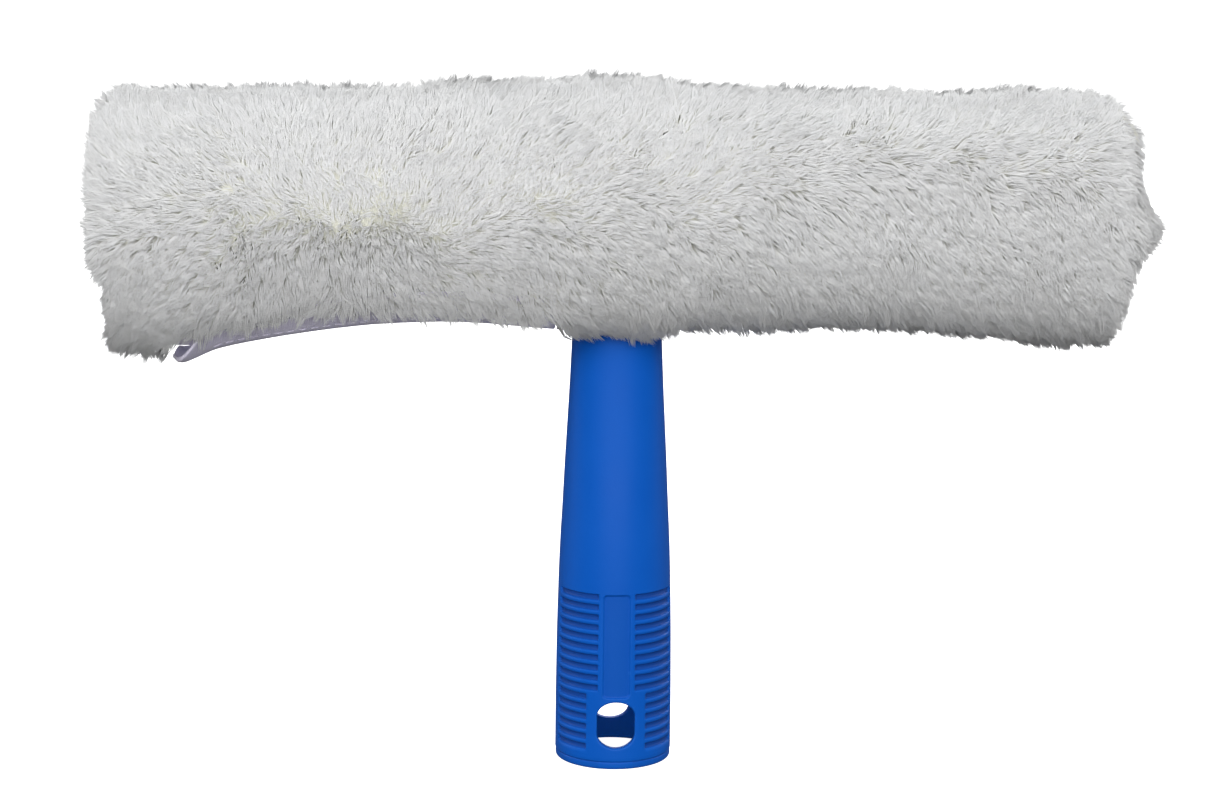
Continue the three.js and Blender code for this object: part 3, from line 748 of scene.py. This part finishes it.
def measured_section(x):
    """Middle height, half height and half depth of the pile, read beside the strips that lie in it."""
    top = reach(pile_tree, (x, 0, 0), (0, 0, -1)).z
    side = -reach(pile_tree, (x, 0, bar_middle), (0, 1, 0)).y
    by_flap = flap_low.x - strip_margin < x < flap_high.x + strip_margin
    beside = hem_high.y + hem_margin if by_flap else probe_share * side
    under = reach(pile_tree, (x, beside, 0), (0, 0, 1)).z
    rise = (1 - (beside / side) ** pile_roundness) ** (1 / pile_roundness)
    half_height = (top - under) / (1 + rise)
    return top - half_height, half_height, side


def guide_ring(x, middle, half_height, half_depth):
    turn = np.linspace(0, 2 * np.pi, guide_columns, endpoint=False)
    across, up = (
        np.sign(part) * np.abs(part) ** (2 / pile_roundness) for part in (np.cos(turn), np.sin(turn)))
    return np.stack([np.full(guide_columns, x), half_depth * across, middle + half_height * up], axis=1)


stations = np.concatenate([
    pile_low.x + mouth_stations,
    np.arange(pile_low.x + mouth_stations[-1] + body_step, pile_high.x - toe_stations[0], body_step),
    pile_high.x - toe_stations,
])
sections = np.array([measured_section(x) for x in stations])
inner_section = np.array((
    bar_middle, (bar_high.z - bar_low.z) / 2 + backing_thickness, bar_high.y + backing_thickness))
guide_rings = []
for share in (1, 0.7, 0.35):
    guide_rings.append(guide_ring(stations[0], *(sections[0] + share * (inner_section - sections[0]))))
guide_rings += [guide_ring(x, *section) for x, section in zip(stations, sections)]
for shrink in (0.5, 0.02):
    guide_rings.append(guide_ring(stations[-1], *(sections[-1] * (1, shrink, shrink))))
guide = np.array(guide_rings)


def unit(vectors):
    return vectors / np.maximum(np.linalg.norm(vectors, axis=-1, keepdims=True), 1e-12)


along_sleeve = np.gradient(guide, axis=0)
round_sleeve = np.roll(guide, -1, axis=1) - np.roll(guide, 1, axis=1)
guide_normals = unit(np.cross(along_sleeve, round_sleeve))
middle_ring = len(guide) // 2
outward = guide[middle_ring] - guide[middle_ring].mean(axis=0)
if (guide_normals[middle_ring] * outward).sum() < 0:
    guide_normals = -guide_normals
print("pile at the middle in mm:", np.round(sections[len(sections) // 2] / mm, 1))

# %% [markdown]
# Locks are planted one by one at random places, and a place too near an earlier one is skipped. That is how
# real pile looks: even, but with no rows. The strips and the slot underneath stay bare.

# %% Plant the locks
lock_spacing = 1.15 * mm
planting_tries = 320000


def planted(spacing, tries, seed):
    """Places on the guide surface at least a spacing apart, with their normals."""
    random = np.random.default_rng(seed)
    down = np.diff(guide, axis=0)
    across = np.roll(guide, -1, axis=1)[:-1] - guide[:-1]
    areas = np.linalg.norm(np.cross(down, across), axis=2)
    row, column = np.divmod(random.choice(areas.size, tries, p=areas.ravel() / areas.sum()), guide_columns)
    after = (column + 1) % guide_columns
    u, v = random.random((2, tries, 1))

    def between(net):
        return ((1 - u) * ((1 - v) * net[row, column] + v * net[row, after])
                + u * ((1 - v) * net[row + 1, column] + v * net[row + 1, after]))

    places, normals = between(guide), unit(between(guide_normals))
    taken, kept = {}, []
    for i, cell in enumerate(np.floor(places / spacing).astype(int)):
        near = [j for a in (-1, 0, 1) for b in (-1, 0, 1) for c in (-1, 0, 1)
                for j in taken.get((cell[0] + a, cell[1] + b, cell[2] + c), ())]
        if not near or np.linalg.norm(places[near] - places[i], axis=1).min() > spacing:
            taken.setdefault(tuple(cell), []).append(i)
            kept.append(i)
    return places[kept], normals[kept]


def is_bare(places):
    """True where a strip or the slot leaves no room for pile."""
    x, y, z = places.T
    below = z < bar_low.z
    on_flap = (x > flap_low.x - clearance) & (x < flap_high.x + clearance) & (
        y > flap_low.y - 2 * clearance) & (y < hem_high.y + clearance)
    on_seam = (x > slot_high.x) & (x < seam_high.x + clearance) & (abs(y) < seam_high.y + clearance)
    in_slot = (x < slot_high.x + clearance) & (abs(y) < slot_high.y + 5 * clearance)
    return below & (on_flap | on_seam | in_slot)


lock_places, lock_normals = planted(lock_spacing, planting_tries, seed=7)
kept = ~is_bare(lock_places)
lock_places, lock_normals = lock_places[kept], lock_normals[kept]
print("locks:", len(lock_places))

# %% [markdown]
# Which way a lock lies decides the look of the whole sleeve. A hand once brushed this pile out of a whorl
# left of the middle, up above a parting and down below it, and further right it lies to the right and down.
# Over the top it lies backwards and meets the rear pile at a ridge, so that no locks stand up against the
# light; over the closed toe it hangs down. Two sizes of noise turn each lock a little from its neighbours.
# The noise gets a seed, because without one it starts from the clock and the pile lies anew in every run.

# %% The way the pile lies
whorl = (-73 * mm, 134 * mm)
whorl_width = 35 * mm
parting_width = 10 * mm
parting_climb = 16 * mm
parting_run = (-20 * mm, 100 * mm)
right_run = (10 * mm, 70 * mm)
right_calm = 0.35
right_droop = 0.3
toe_droop = 0.9
sideways_lie = 0.75
weight = 0.12
most_lie = 0.88
ridge = 7 * mm
ridge_width = 9 * mm
lie_noises = ((0.8, 19 * mm, 3.1), (0.36, 5 * mm, 11.7))
lump_size = 16 * mm
lump_height = 0.9 * mm
noise.seed_set(12)


def noise_at(places, wavelength, shift):
    offset = Vector((shift, 2 * shift, -shift))
    return np.array([noise.noise_vector(Vector(place) / wavelength + offset) for place in places])


def lie_of(places, normals):
    x, y, z = places.T
    parting = whorl[1] + parting_climb * soft_step(x, *parting_run)
    out = np.tanh((x - whorl[0]) / whorl_width)
    up = np.tanh((z - parting) / parting_width)
    right_share = soft_step(x, *right_run)
    up = up * (1 - right_calm * right_share) - right_droop * right_share
    sideways = -np.tanh((y - ridge) / ridge_width) * soft_step(normals[:, 2], 0.2, 0.8)
    up = up * (1 - 0.5 * soft_step(-normals[:, 0], 0.4, 0.9))
    over_toe = soft_step(normals[:, 0], 0.5, 0.9)
    up = up * (1 - over_toe) - toe_droop * over_toe
    lie = np.stack([sideways_lie * out, sideways, up - weight], axis=1)
    lie += sum(share * noise_at(places, wavelength, shift) for share, wavelength, shift in lie_noises)
    lie -= normals * (lie * normals).sum(axis=1, keepdims=True)
    return most_lie * lie / np.maximum(np.linalg.norm(lie, axis=1, keepdims=True), 1)


# %% [markdown]
# The photograph's outline isn't the solid's: the pile is pressed flat here and stands out there. Four short
# rows of a place and an amount, both in mm, follow it: one sets locks deeper or higher along the top, one
# lets the fringe hang lower, and two shift the mouth and the toe along X at each height. The whole pile is
# also sunk a little, drops at its shoulders, stands fuller over the toe, and covers the flap's front edge.
# No lock goes so deep that it would come out through the backing.

# %% Lumps and outline
lock_sink = 1.7 * mm
shoulder_drop = 1 * mm
toe_lift = 1 * mm
flap_cover = 1.3 * mm
undercoat_rest = 1.6 * mm
lock_rest = 1.2 * mm
mouth_ease = (16 * mm, 2 * mm)
toe_ease = (18 * mm, 4 * mm)
top_trim = (
    (-120, -1.9), (-85, -1.9), (-55, -1.6), (-40, 0), (5, 0), (18, -1.6), (52, -1.6), (66, 0.8), (110, 0.4))
fringe_drop = (
    (-116, 0.6), (-106, 1.6), (-97, -0.4), (-78, -0.2), (-63, 1), (-50, 2.6), (-40, 3.4), (-24, 3.2),
    (-13, 3.2), (0, 1.8), (8, 2), (16, 0))
mouth_draw = (
    (100, 2.8), (112, 3.8), (122, 3.6), (127, 0.2), (131, 0), (136, 0.8), (141, 0), (150, 0.4), (156, 1.4),
    (161, 3.2), (166, 3.8))
toe_puff = (
    (100, -2.2), (107, -2.4), (113, -2.4), (119, -2.6), (125, -2.2), (130, -0.6), (134.5, 3.4), (138, 2),
    (141, 0), (145, -1.3), (150, -2), (156, -2.4), (166, -3.6))


def row_value(rows, value):
    places, amounts = np.array(rows).T * mm
    return np.interp(value, places, amounts)


def pile_thickness(places):
    """How much pile lies between a place and the backing."""
    return np.array([liner_tree.find_nearest(Vector(place))[3] for place in places])


def trim_at(places, normals):
    over_top = soft_step(normals[:, 2], 0.3, 0.9)
    shoulders = shoulder_drop * soft_step(abs(places[:, 1]), 4 * mm, 17 * mm)
    return over_top * (row_value(top_trim, places[:, 0]) - shoulders)


def mouth_shift(places):
    """How far the mouth is pushed along X, to follow the photograph's uneven end."""
    near_end = soft_step(-places[:, 0], -pile_low.x - mouth_ease[0], -pile_low.x - mouth_ease[1])
    return near_end * row_value(mouth_draw, places[:, 2])


def toe_shift(places):
    """How far the toe is pushed along X."""
    near_end = soft_step(places[:, 0], pile_high.x - toe_ease[0], pile_high.x - toe_ease[1])
    return near_end * row_value(toe_puff, places[:, 2])


def low_in_front(places, above, below):
    """From 0 to 1 over two heights round the bar's lower edge, and only in front."""
    return soft_step(-places[:, 2], -bar_low.z - above, below - bar_low.z) * (places[:, 1] < 0)


lock_places[:, 2] -= low_in_front(lock_places, 9 * mm, 1 * mm) * row_value(fringe_drop, lock_places[:, 0])
lock_lies = lie_of(lock_places, lock_normals)
lumps = noise_at(lock_places, lump_size, 5.3) + 0.5 * noise_at(lock_places, 0.4 * lump_size, 8.9)
shifts = mouth_shift(lock_places) + toe_shift(lock_places)
lifts = lump_height * lumps[:, 0] + trim_at(lock_places, lock_normals) - lock_sink
lifts += toe_lift * soft_step(lock_normals[:, 0], 0.5, 0.9)
before_flap = low_in_front(lock_places, 6 * mm, 2 * mm)
before_flap *= soft_step(lock_places[:, 0], flap_low.x - 4 * mm, flap_low.x + 2 * mm)
before_flap *= 1 - soft_step(lock_places[:, 0], flap_high.x, flap_high.x + 4 * mm)
lifts += flap_cover * before_flap
lifts = np.maximum(lifts, undercoat_rest + lock_rest - pile_thickness(lock_places))
lock_places += lifts[:, None] * lock_normals
lock_places[:, 0] += shifts
print("locks set higher or deeper by up to mm:", round(lifts.max() / mm, 1), round(lifts.min() / mm, 1))

# %% [markdown]
# A strand is a three-sided spike that bends from its root towards its tip. The strands of one lock start
# side by side and come together at the tip. All strands are one array each of roots, bends and tips, so
# that three hundred thousand of them take seconds. Each also carries a way that it faces: partly the pile's
# own, so that light falls on the fleece as one soft body and not on every strand for itself.

# %% Shape the strands
strands_per_lock = 17
lock_length = 5.8 * mm
lock_radius = 1.5 * mm
tip_gather = 0.5
root_depth = 4 * mm
strand_radius = 0.13 * mm
ring_places = np.array((0.08, 0.62))
ring_widths = np.array((1.0, 0.85))
tip_rise = 0.8 * mm
lock_lengths = (0.75, 1.25)
strand_lengths = (0.82, 1.1)
highest_tip = 2.6
brushed_flat = 0.6
stray = 0.18 * mm
curl_share = 0.16
most_of_pile = 0.75
strip_gap = 0.3 * mm
slot_gap = 0.2 * mm
pile_normal_share = 0.97
roundness_of_light = 1.4
toe_light = (0.4, -0.9, 0.1)
middle_height, half_height = sections[len(sections) // 2][:2]


def strands_of(places, normals, lies, count, length, radius, gather, rise, seed):
    """Root, bend and tip of every strand, with a tone for its lock."""
    random = np.random.default_rng(seed)
    locks = len(places)
    n, t = normals[:, None], lies[:, None]
    s = unit(np.cross(n, t))
    upright = 1 - np.linalg.norm(t, axis=-1, keepdims=True)
    spin = random.random((locks, count, 1)) * 2 * np.pi
    out = radius * np.sqrt(random.random((locks, count, 1)))
    offset = out * (np.cos(spin) * unit(t) + np.sin(spin) * s)
    reach_out = length * random.uniform(*lock_lengths, (locks, 1, 1))
    reach_out = reach_out * random.uniform(*strand_lengths, (locks, count, 1))
    brushed = soft_step(abs(normals[:, 1]), 0.4, 0.95) * soft_step(normals[:, 2], -0.5, -0.1)
    lift = highest_tip * rise * (1 - brushed_flat * brushed)[:, None, None] * random.random((locks, 1, 1)) ** 3
    lift = lift + stray * random.standard_normal((locks, count, 1))
    curl = curl_share * reach_out * random.standard_normal((locks, 1, 1)) * s
    depth = np.minimum(root_depth, most_of_pile * pile_thickness(places))[:, None, None]
    centre = places[:, None]
    roots = centre - depth * n + offset
    bends = centre + 0.1 * rise * n + 0.3 * reach_out * t + 0.9 * offset
    tips = centre + (lift + 0.35 * upright * reach_out) * n + 0.9 * reach_out * t + gather * offset + curl
    tones = np.broadcast_to(random.random((locks, 1)), (locks, count))
    x, y, z = places.T
    round_way = np.stack([0 * x, y / pile_high.y, (z - middle_height) / half_height], axis=1)
    at_toe = soft_step(normals[:, 0], 0.3, 0.9)[:, None]
    round_way = (1 - at_toe) * round_way + at_toe * np.array(toe_light)
    round_way[:, 1] += 0.2 * soft_step(normals[:, 2], 0.3, 0.9)
    ways = np.broadcast_to(unit(normals + roundness_of_light * round_way)[:, None], roots.shape)
    return [array.reshape(-1, array.shape[-1]) if array.ndim == 3 else array.reshape(-1)
            for array in (roots, bends, tips, ways, tones)]


def keep_clear(points):
    """Moves points out of the slot and off the closure flap, which shows as a pale band under the pile."""
    x, y, z = points.T
    low = z < bar_low.z
    beside_slot = low & (x < slot_high.x) & (abs(y) < slot_high.y + slot_gap)
    y = np.where(beside_slot, np.sign(y) * (slot_high.y + slot_gap), y)
    over_flap = low & (x > flap_low.x - strip_margin) & (x < flap_high.x + strip_margin / 2)
    y = np.where(over_flap & (y < 0), np.minimum(y, flap_low.y - strip_gap), y)
    y = np.where(over_flap & (y > 0), np.maximum(y, hem_high.y + strip_gap), y)
    return np.stack([x, y, z], axis=1)


roots, bends, tips, ways, tones = strands_of(
    lock_places, lock_normals, lock_lies,
    strands_per_lock, lock_length, lock_radius, tip_gather, tip_rise, seed=21)
bends, tips = keep_clear(bends), keep_clear(tips)


def strand_mesh(name, roots, bends, tips, ways, tones, width):
    """One mesh of closed spikes: rings of three corners, and a tip. Its normals are nearly the pile's own."""
    count, rings = len(roots), len(ring_places)
    share = ring_places[None, :, None]
    line = (1 - share) ** 2 * roots[:, None] + 2 * share * (1 - share) * bends[:, None]
    line = line + share ** 2 * tips[:, None]
    forward = unit((1 - share) * (bends - roots)[:, None] + share * (tips - bends)[:, None])
    side = unit(np.cross(forward, ways[:, None] + 0.01))
    third = np.cross(forward, side)
    corner = np.radians((90, 210, 330))[None, None, :, None]
    spoke = np.cos(corner) * side[:, :, None] + np.sin(corner) * third[:, :, None]
    ring_points = line[:, :, None] + width * ring_widths[None, :, None, None] * spoke
    per_strand = 3 * rings + 1
    points = np.concatenate([ring_points.reshape(count, 3 * rings, 3), tips[:, None]], axis=1)
    faces = [(0, 2, 1)]
    for ring in range(rings - 1):
        for k in range(3):
            a, b = 3 * ring + k, 3 * ring + (k + 1) % 3
            faces += [(a, b, b + 3), (a, b + 3, a + 3)]
    last = 3 * (rings - 1)
    faces += [(last + k, last + (k + 1) % 3, per_strand - 1) for k in range(3)]
    corners = (np.array(faces)[None] + per_strand * np.arange(count)[:, None, None]).reshape(-1)
    mesh = bpy.data.meshes.new(name)
    mesh.vertices.add(count * per_strand)
    mesh.vertices.foreach_set("co", points.reshape(-1))
    mesh.loops.add(len(corners))
    mesh.loops.foreach_set("vertex_index", corners)
    mesh.polygons.add(len(corners) // 3)
    mesh.polygons.foreach_set("loop_start", np.arange(0, len(corners), 3))
    mesh.update(calc_edges=True)
    mesh.polygons.foreach_set("use_smooth", np.ones(len(mesh.polygons), dtype=bool))
    spokes = np.concatenate([spoke.reshape(count, 3 * rings, 3), forward[:, -1:]], axis=1)
    facing = unit(pile_normal_share * ways[:, None] + (1 - pile_normal_share) * spokes)
    mesh.normals_split_custom_set_from_vertices(facing.reshape(-1, 3))
    tip_shares = np.append(np.repeat(ring_places, 3), 1.0)
    for attribute, values in (
        ("tip_share", np.tile(tip_shares, count)), ("lock_tone", np.repeat(tones, per_strand)),
    ):
        mesh.attributes.new(attribute, "FLOAT", "POINT").data.foreach_set("value", values)
    return mesh


fleece_slices = 18
order = np.argsort(lock_places[:, 0], kind="stable")
strand_order = (order[:, None] * strands_per_lock + np.arange(strands_per_lock)).reshape(-1)
for part, chosen in enumerate(np.array_split(strand_order, fleece_slices)):
    name = f"fleece_{part + 1}"
    strands = (array[chosen] for array in (roots, bends, tips, ways, tones))
    piece = new_piece(name, strand_mesh(name, *strands, strand_radius), pile_fleece)
    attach(piece, "sleeve")

# %% [markdown]
# Between the locks one looks down onto the undercoat: the dense, cream-coloured foot of the pile. It is the
# frame's solid, drawn in where pile stands on it but never into the backing, then melted into one skin and
# calmed. Only what lies near the guide surface moves, so the edges along the strips stay where they are.

# %% Undercoat
undercoat_depth = 2.6 * mm
undercoat_reach = (1 * mm, 3 * mm)
undercoat_voxel = 1.5 * mm
toe_swell = 0.3
toe_rest = 1.2 * mm

undercoat_mesh = nodes["sleeve_pile"].data.copy()
undercoat_mesh.materials.clear()
guide_tree = BVHTree.FromPolygons(
    [tuple(point) for point in guide.reshape(-1, 3)], grid_faces(len(guide), guide_columns, closed=True))
for vertex in undercoat_mesh.vertices:
    hit, normal, index, distance = guide_tree.find_nearest(vertex.co)
    if distance < undercoat_reach[1]:
        way = guide_normals.reshape(-1, 3)[index]
        place = np.array(vertex.co)[None]
        outside = max((vertex.co - hit).dot(Vector(way)), 0)
        sunk = undercoat_depth + lock_sink + outside - trim_at(place, way[None])[0]
        thickness = pile_thickness(place)[0]
        room = max(thickness - undercoat_rest, 0.5 * thickness)
        sunk = min(sunk, room) * (1 - soft_step(distance, *undercoat_reach))
        vertex.co -= Vector(way) * float(sunk)
        puff = toe_shift(place)[0]
        to_liner = liner_tree.ray_cast(vertex.co, Vector((-1, 0, 0)))[3]
        if puff > 0:
            puff *= toe_swell
        elif to_liner is not None:
            puff = max(puff, min(toe_rest - to_liner, 0))
        vertex.co.x += float(mouth_shift(place)[0] + puff)
undercoat = new_piece("undercoat", undercoat_mesh, pile_fleece)
melt = undercoat.modifiers.new("melt", "REMESH")
melt.mode = "VOXEL"
melt.voxel_size = undercoat_voxel
calm = undercoat.modifiers.new("calm", "SMOOTH")
calm.iterations = 3
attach(undercoat, "sleeve")
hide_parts("sleeve_pile")
print("undercoat points:", len(undercoat_mesh.vertices))

# %% [markdown]
# Tapes and backing are cloth. Each strip is read from its solid with rays and skinned again with soft edges;
# bindings and backing keep their solid's form. The cloth group needs to know where a point lies on its strip,
# so every face gets coordinates in metres from the two axes that it runs along.

# %% Tools for cloth
edge_offsets = np.array((0, 0.12, 0.35)) * mm
edge_shares = np.array((0, 0.7, 1))
strip_step = 1.1 * mm
edge_margin = 0.02 * mm
pulls = (0.998, 0.98, 0.93, 0.8, 0.5, 0)
calm_reach = 7
binding_draw = 1.15
mouth_lift = 1.8 * mm
mouth_lift_run = (103 * mm, 110 * mm)
mouth_lift_fall = (-112 * mm, -106 * mm)
binding_round = 0.25 * mm


def lay_threads(mesh):
    layer = mesh.uv_layers.new(name="strip")
    for polygon in mesh.polygons:
        away_from = max(range(3), key=lambda axis: abs(polygon.normal[axis]))
        first, second = (axis for axis in range(3) if axis != away_from)
        for loop in polygon.loop_indices:
            place = mesh.vertices[mesh.loops[loop].vertex_index].co
            layer.data[loop].uv = (place[first], place[second])


def new_cloth(name, mesh, material):
    face_outwards(mesh)
    lay_threads(mesh)
    piece = new_piece(name, mesh, material)
    return piece


def crowded(low, high):
    """Places between two ends, close together at both, and the share of the full thickness at each."""
    count = max(int((high - low) / strip_step), 3)
    inner = np.linspace(low + edge_offsets[-1], high - edge_offsets[-1], count)
    places = np.concatenate([low + edge_offsets[:-1], inner, (high - edge_offsets[:-1])[::-1]])
    shares = np.concatenate([edge_shares[:-1], np.ones(len(inner)), edge_shares[:-1][::-1]])
    return places, shares


def calmed(heights):
    """Heights averaged along the strip, so that the solid's flat steps don't show."""
    padded = np.pad(heights, ((calm_reach, calm_reach), (0, 0)), mode="edge")
    first_slope = (heights[calm_reach] - heights[0]) / calm_reach
    last_slope = (heights[-1] - heights[-1 - calm_reach]) / calm_reach
    for k in range(calm_reach):
        padded[calm_reach - 1 - k] = heights[0] - (k + 1) * first_slope
        padded[-calm_reach + k] = heights[-1] + (k + 1) * last_slope
    return np.mean([padded[k:k + len(heights)] for k in range(2 * calm_reach + 1)], axis=0)


def strip_height(tree, x, y, middle, way):
    """Where a vertical ray meets the strip, moved towards its middle line where it would miss the edge."""
    for pull in pulls:
        hit = reach(tree, (x, middle + (y - middle) * pull, 0), (0, 0, way))
        if hit is not None:
            return hit.z


def strip_piece(name, node, material, narrowing=None, sag=None):
    """A strip that runs along X under the pile, skinned over the upper and lower faces of a node."""
    low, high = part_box(node)
    tree = tree_of(nodes[node])
    rows, row_shares = crowded(low.x, high.x)
    columns, column_shares = crowded(low.y, high.y)
    middle = (low.y + high.y) / 2
    x, y = np.meshgrid(rows, columns, indexing="ij")
    if narrowing is not None:
        y = middle + (y - middle) * narrowing(x)
    seen = list(zip(np.clip(x, low.x + edge_margin, high.x - edge_margin).flat, y.flat))
    under, over = (
        np.array([strip_height(tree, a, b, middle, way) for a, b in seen]).reshape(x.shape) for way in (1, -1))
    centre = calmed((under + over) / 2)
    if sag is not None:
        centre = centre - sag(x, y)
    half = np.median(over - under) / 2 * np.minimum(row_shares[:, None], column_shares)
    skins = [np.stack([x, y, centre + side * half], axis=2).reshape(-1, 3) for side in (-1, 1)]
    faces = grid_faces(len(rows), len(columns))
    faces += [[corner + x.size for corner in face] for face in faces]
    piece = new_cloth(name, new_mesh(name, np.concatenate(skins), faces), material)
    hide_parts(node)
    return piece


def cloth_copy(name, node, material, body):
    """The node's own solid with soft edges, for cloth that keeps its form."""
    mesh = nodes[node].data.copy()
    mesh.materials.clear()
    for vertex in mesh.vertices:
        place = np.array(vertex.co)[None]
        vertex.co.x += float(mouth_shift(place)[0] * binding_draw)
        lifted = soft_step(-place[0, 0], *mouth_lift_run) * soft_step(-place[0, 2], *mouth_lift_fall)
        vertex.co.z += mouth_lift * float(lifted)
    piece = new_cloth(name, mesh, material)
    soften = piece.modifiers.new("soften", "BEVEL")
    soften.width = binding_round
    soften.segments = 2
    soften.angle_limit = math.radians(35)
    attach(piece, body)
    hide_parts(node)
    return piece


# %% Tapes, bindings and backing
tab_radius = 10 * mm
tab_droop = 2.4 * mm
tab_curl = 2.6 * mm
tab_curl_length = 4.5 * mm
flap_wave = 0.25 * mm
wave_lengths = (6.5 * mm, 15 * mm)
front_turn_up = 2.4 * mm
turn_up_width = 7 * mm
turn_up_run = 12 * mm


def tab_narrowing(x):
    share = np.clip((flap_low.x + tab_radius - x) / tab_radius, 0, 0.985)
    return 1 - 2 * tab_radius * (1 - np.sqrt(1 - share ** 2)) / (flap_high.y - flap_low.y)


def flap_sag(x, y):
    """The flap's tab droops at its front corner, and its free edge runs in slight waves."""
    tab = soft_step(-x, -flap_low.x - 1.2 * tab_radius, -flap_low.x)
    front = soft_step(-y, 0, -flap_low.y)
    turned_up = front_turn_up * soft_step(-y, -flap_low.y - turn_up_width, -flap_low.y)
    turned_up = turned_up * soft_step(x, flap_low.x, flap_low.x + turn_up_run)
    bend = np.clip((flap_low.x + tab_curl_length - x) / tab_curl_length, 0, 1)
    curl = turned_up + tab_curl * (1 - np.sqrt(1 - bend ** 2))
    waves = flap_wave * front * np.sin(x / wave_lengths[0]) * np.cos(x / wave_lengths[1])
    return tab_droop * tab * front - curl + waves


seam_tape = strip_piece("seam_tape_cloth", "seam_tape", lilac_tape)
flap_hem = strip_piece("flap_hem_cloth", "flap_hem", lilac_tape)
loop_tape = strip_piece("loop_tape_cloth", "loop_tape", grip_tape)
hook_tape = strip_piece("hook_tape_cloth", "hook_tape", grip_tape)
closure_flap = strip_piece(
    "closure_flap_cloth", "closure_flap", lilac_tape, tab_narrowing, flap_sag)
for strip in (seam_tape, flap_hem, loop_tape):
    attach(strip, "sleeve")
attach(hook_tape, "flap")
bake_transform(closure_flap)
mouth_binding = cloth_copy("mouth_binding_cloth", "mouth_binding", lilac_tape, "sleeve")
slot_binding = cloth_copy("slot_binding_cloth", "slot_binding", lilac_tape, "sleeve")
backing = cloth_copy("sleeve_backing", "sleeve_liner", backing_cloth, "sleeve")

# %% [markdown]
# Sewn edges are what make cloth look like cloth. Each stitch is a short thread that lies on the tape and
# dives into it at both ends.

# %% Stitches
stitch_length = 2.2 * mm
stitch_pitch = 2.9 * mm
stitch_radius = 0.2 * mm
stitch_rings = (0, 0.2, 0.5, 0.8, 1)
stitch_sides = 6
stitch_dive = 0.6
stitch_end = 0.55
stitch_rows = [
    ("flap_front_stitches", "closure_flap", closure_flap, flap_low.y + 5.5 * mm, "flap"),
    ("flap_rear_stitches", "closure_flap", closure_flap, flap_high.y - 3.6 * mm, "flap"),
    ("hem_stitches", "flap_hem", flap_hem, (hem_low.y + hem_high.y) / 2, "sleeve"),
    ("seam_front_stitches", "seam_tape", seam_tape, seam_low.y + 1.3 * mm, "sleeve"),
    ("seam_rear_stitches", "seam_tape", seam_tape, seam_high.y - 1.3 * mm, "sleeve"),
]


def stitch_row(name, node, cloth, y, body):
    low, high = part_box(node)
    surface = tree_of(cloth)
    points, faces = [], []
    inset = tab_radius if node == "closure_flap" else 2 * mm
    for start in np.arange(low.x + inset, high.x - 2 * mm - stitch_length, stitch_pitch):
        first = len(points)
        for share in stitch_rings:
            x = start + share * stitch_length
            z = reach(surface, (x, y, 0), (0, 0, 1)).z
            z += stitch_dive * stitch_radius * (2 * share - 1) ** 4
            width = stitch_radius * (stitch_end if share in (0, 1) else 1)
            for k in range(stitch_sides):
                turn = 2 * math.pi * k / stitch_sides
                points.append((x, y + width * math.cos(turn), z + width * math.sin(turn)))
        last = len(points) - first - stitch_sides
        ends = [list(range(stitch_sides))[::-1], [last + k for k in range(stitch_sides)]]
        tube = grid_faces(len(stitch_rings), stitch_sides, closed=True)
        faces += [[corner + first for corner in face] for face in tube + ends]
    stitches = new_cloth(name, new_mesh(name, points, faces), lilac_tape)
    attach(stitches, body)
    return stitches


stitches = [stitch_row(*row) for row in stitch_rows]
print("stitch rows:", len(stitches), "faces:", [len(row.data.polygons) for row in stitches])
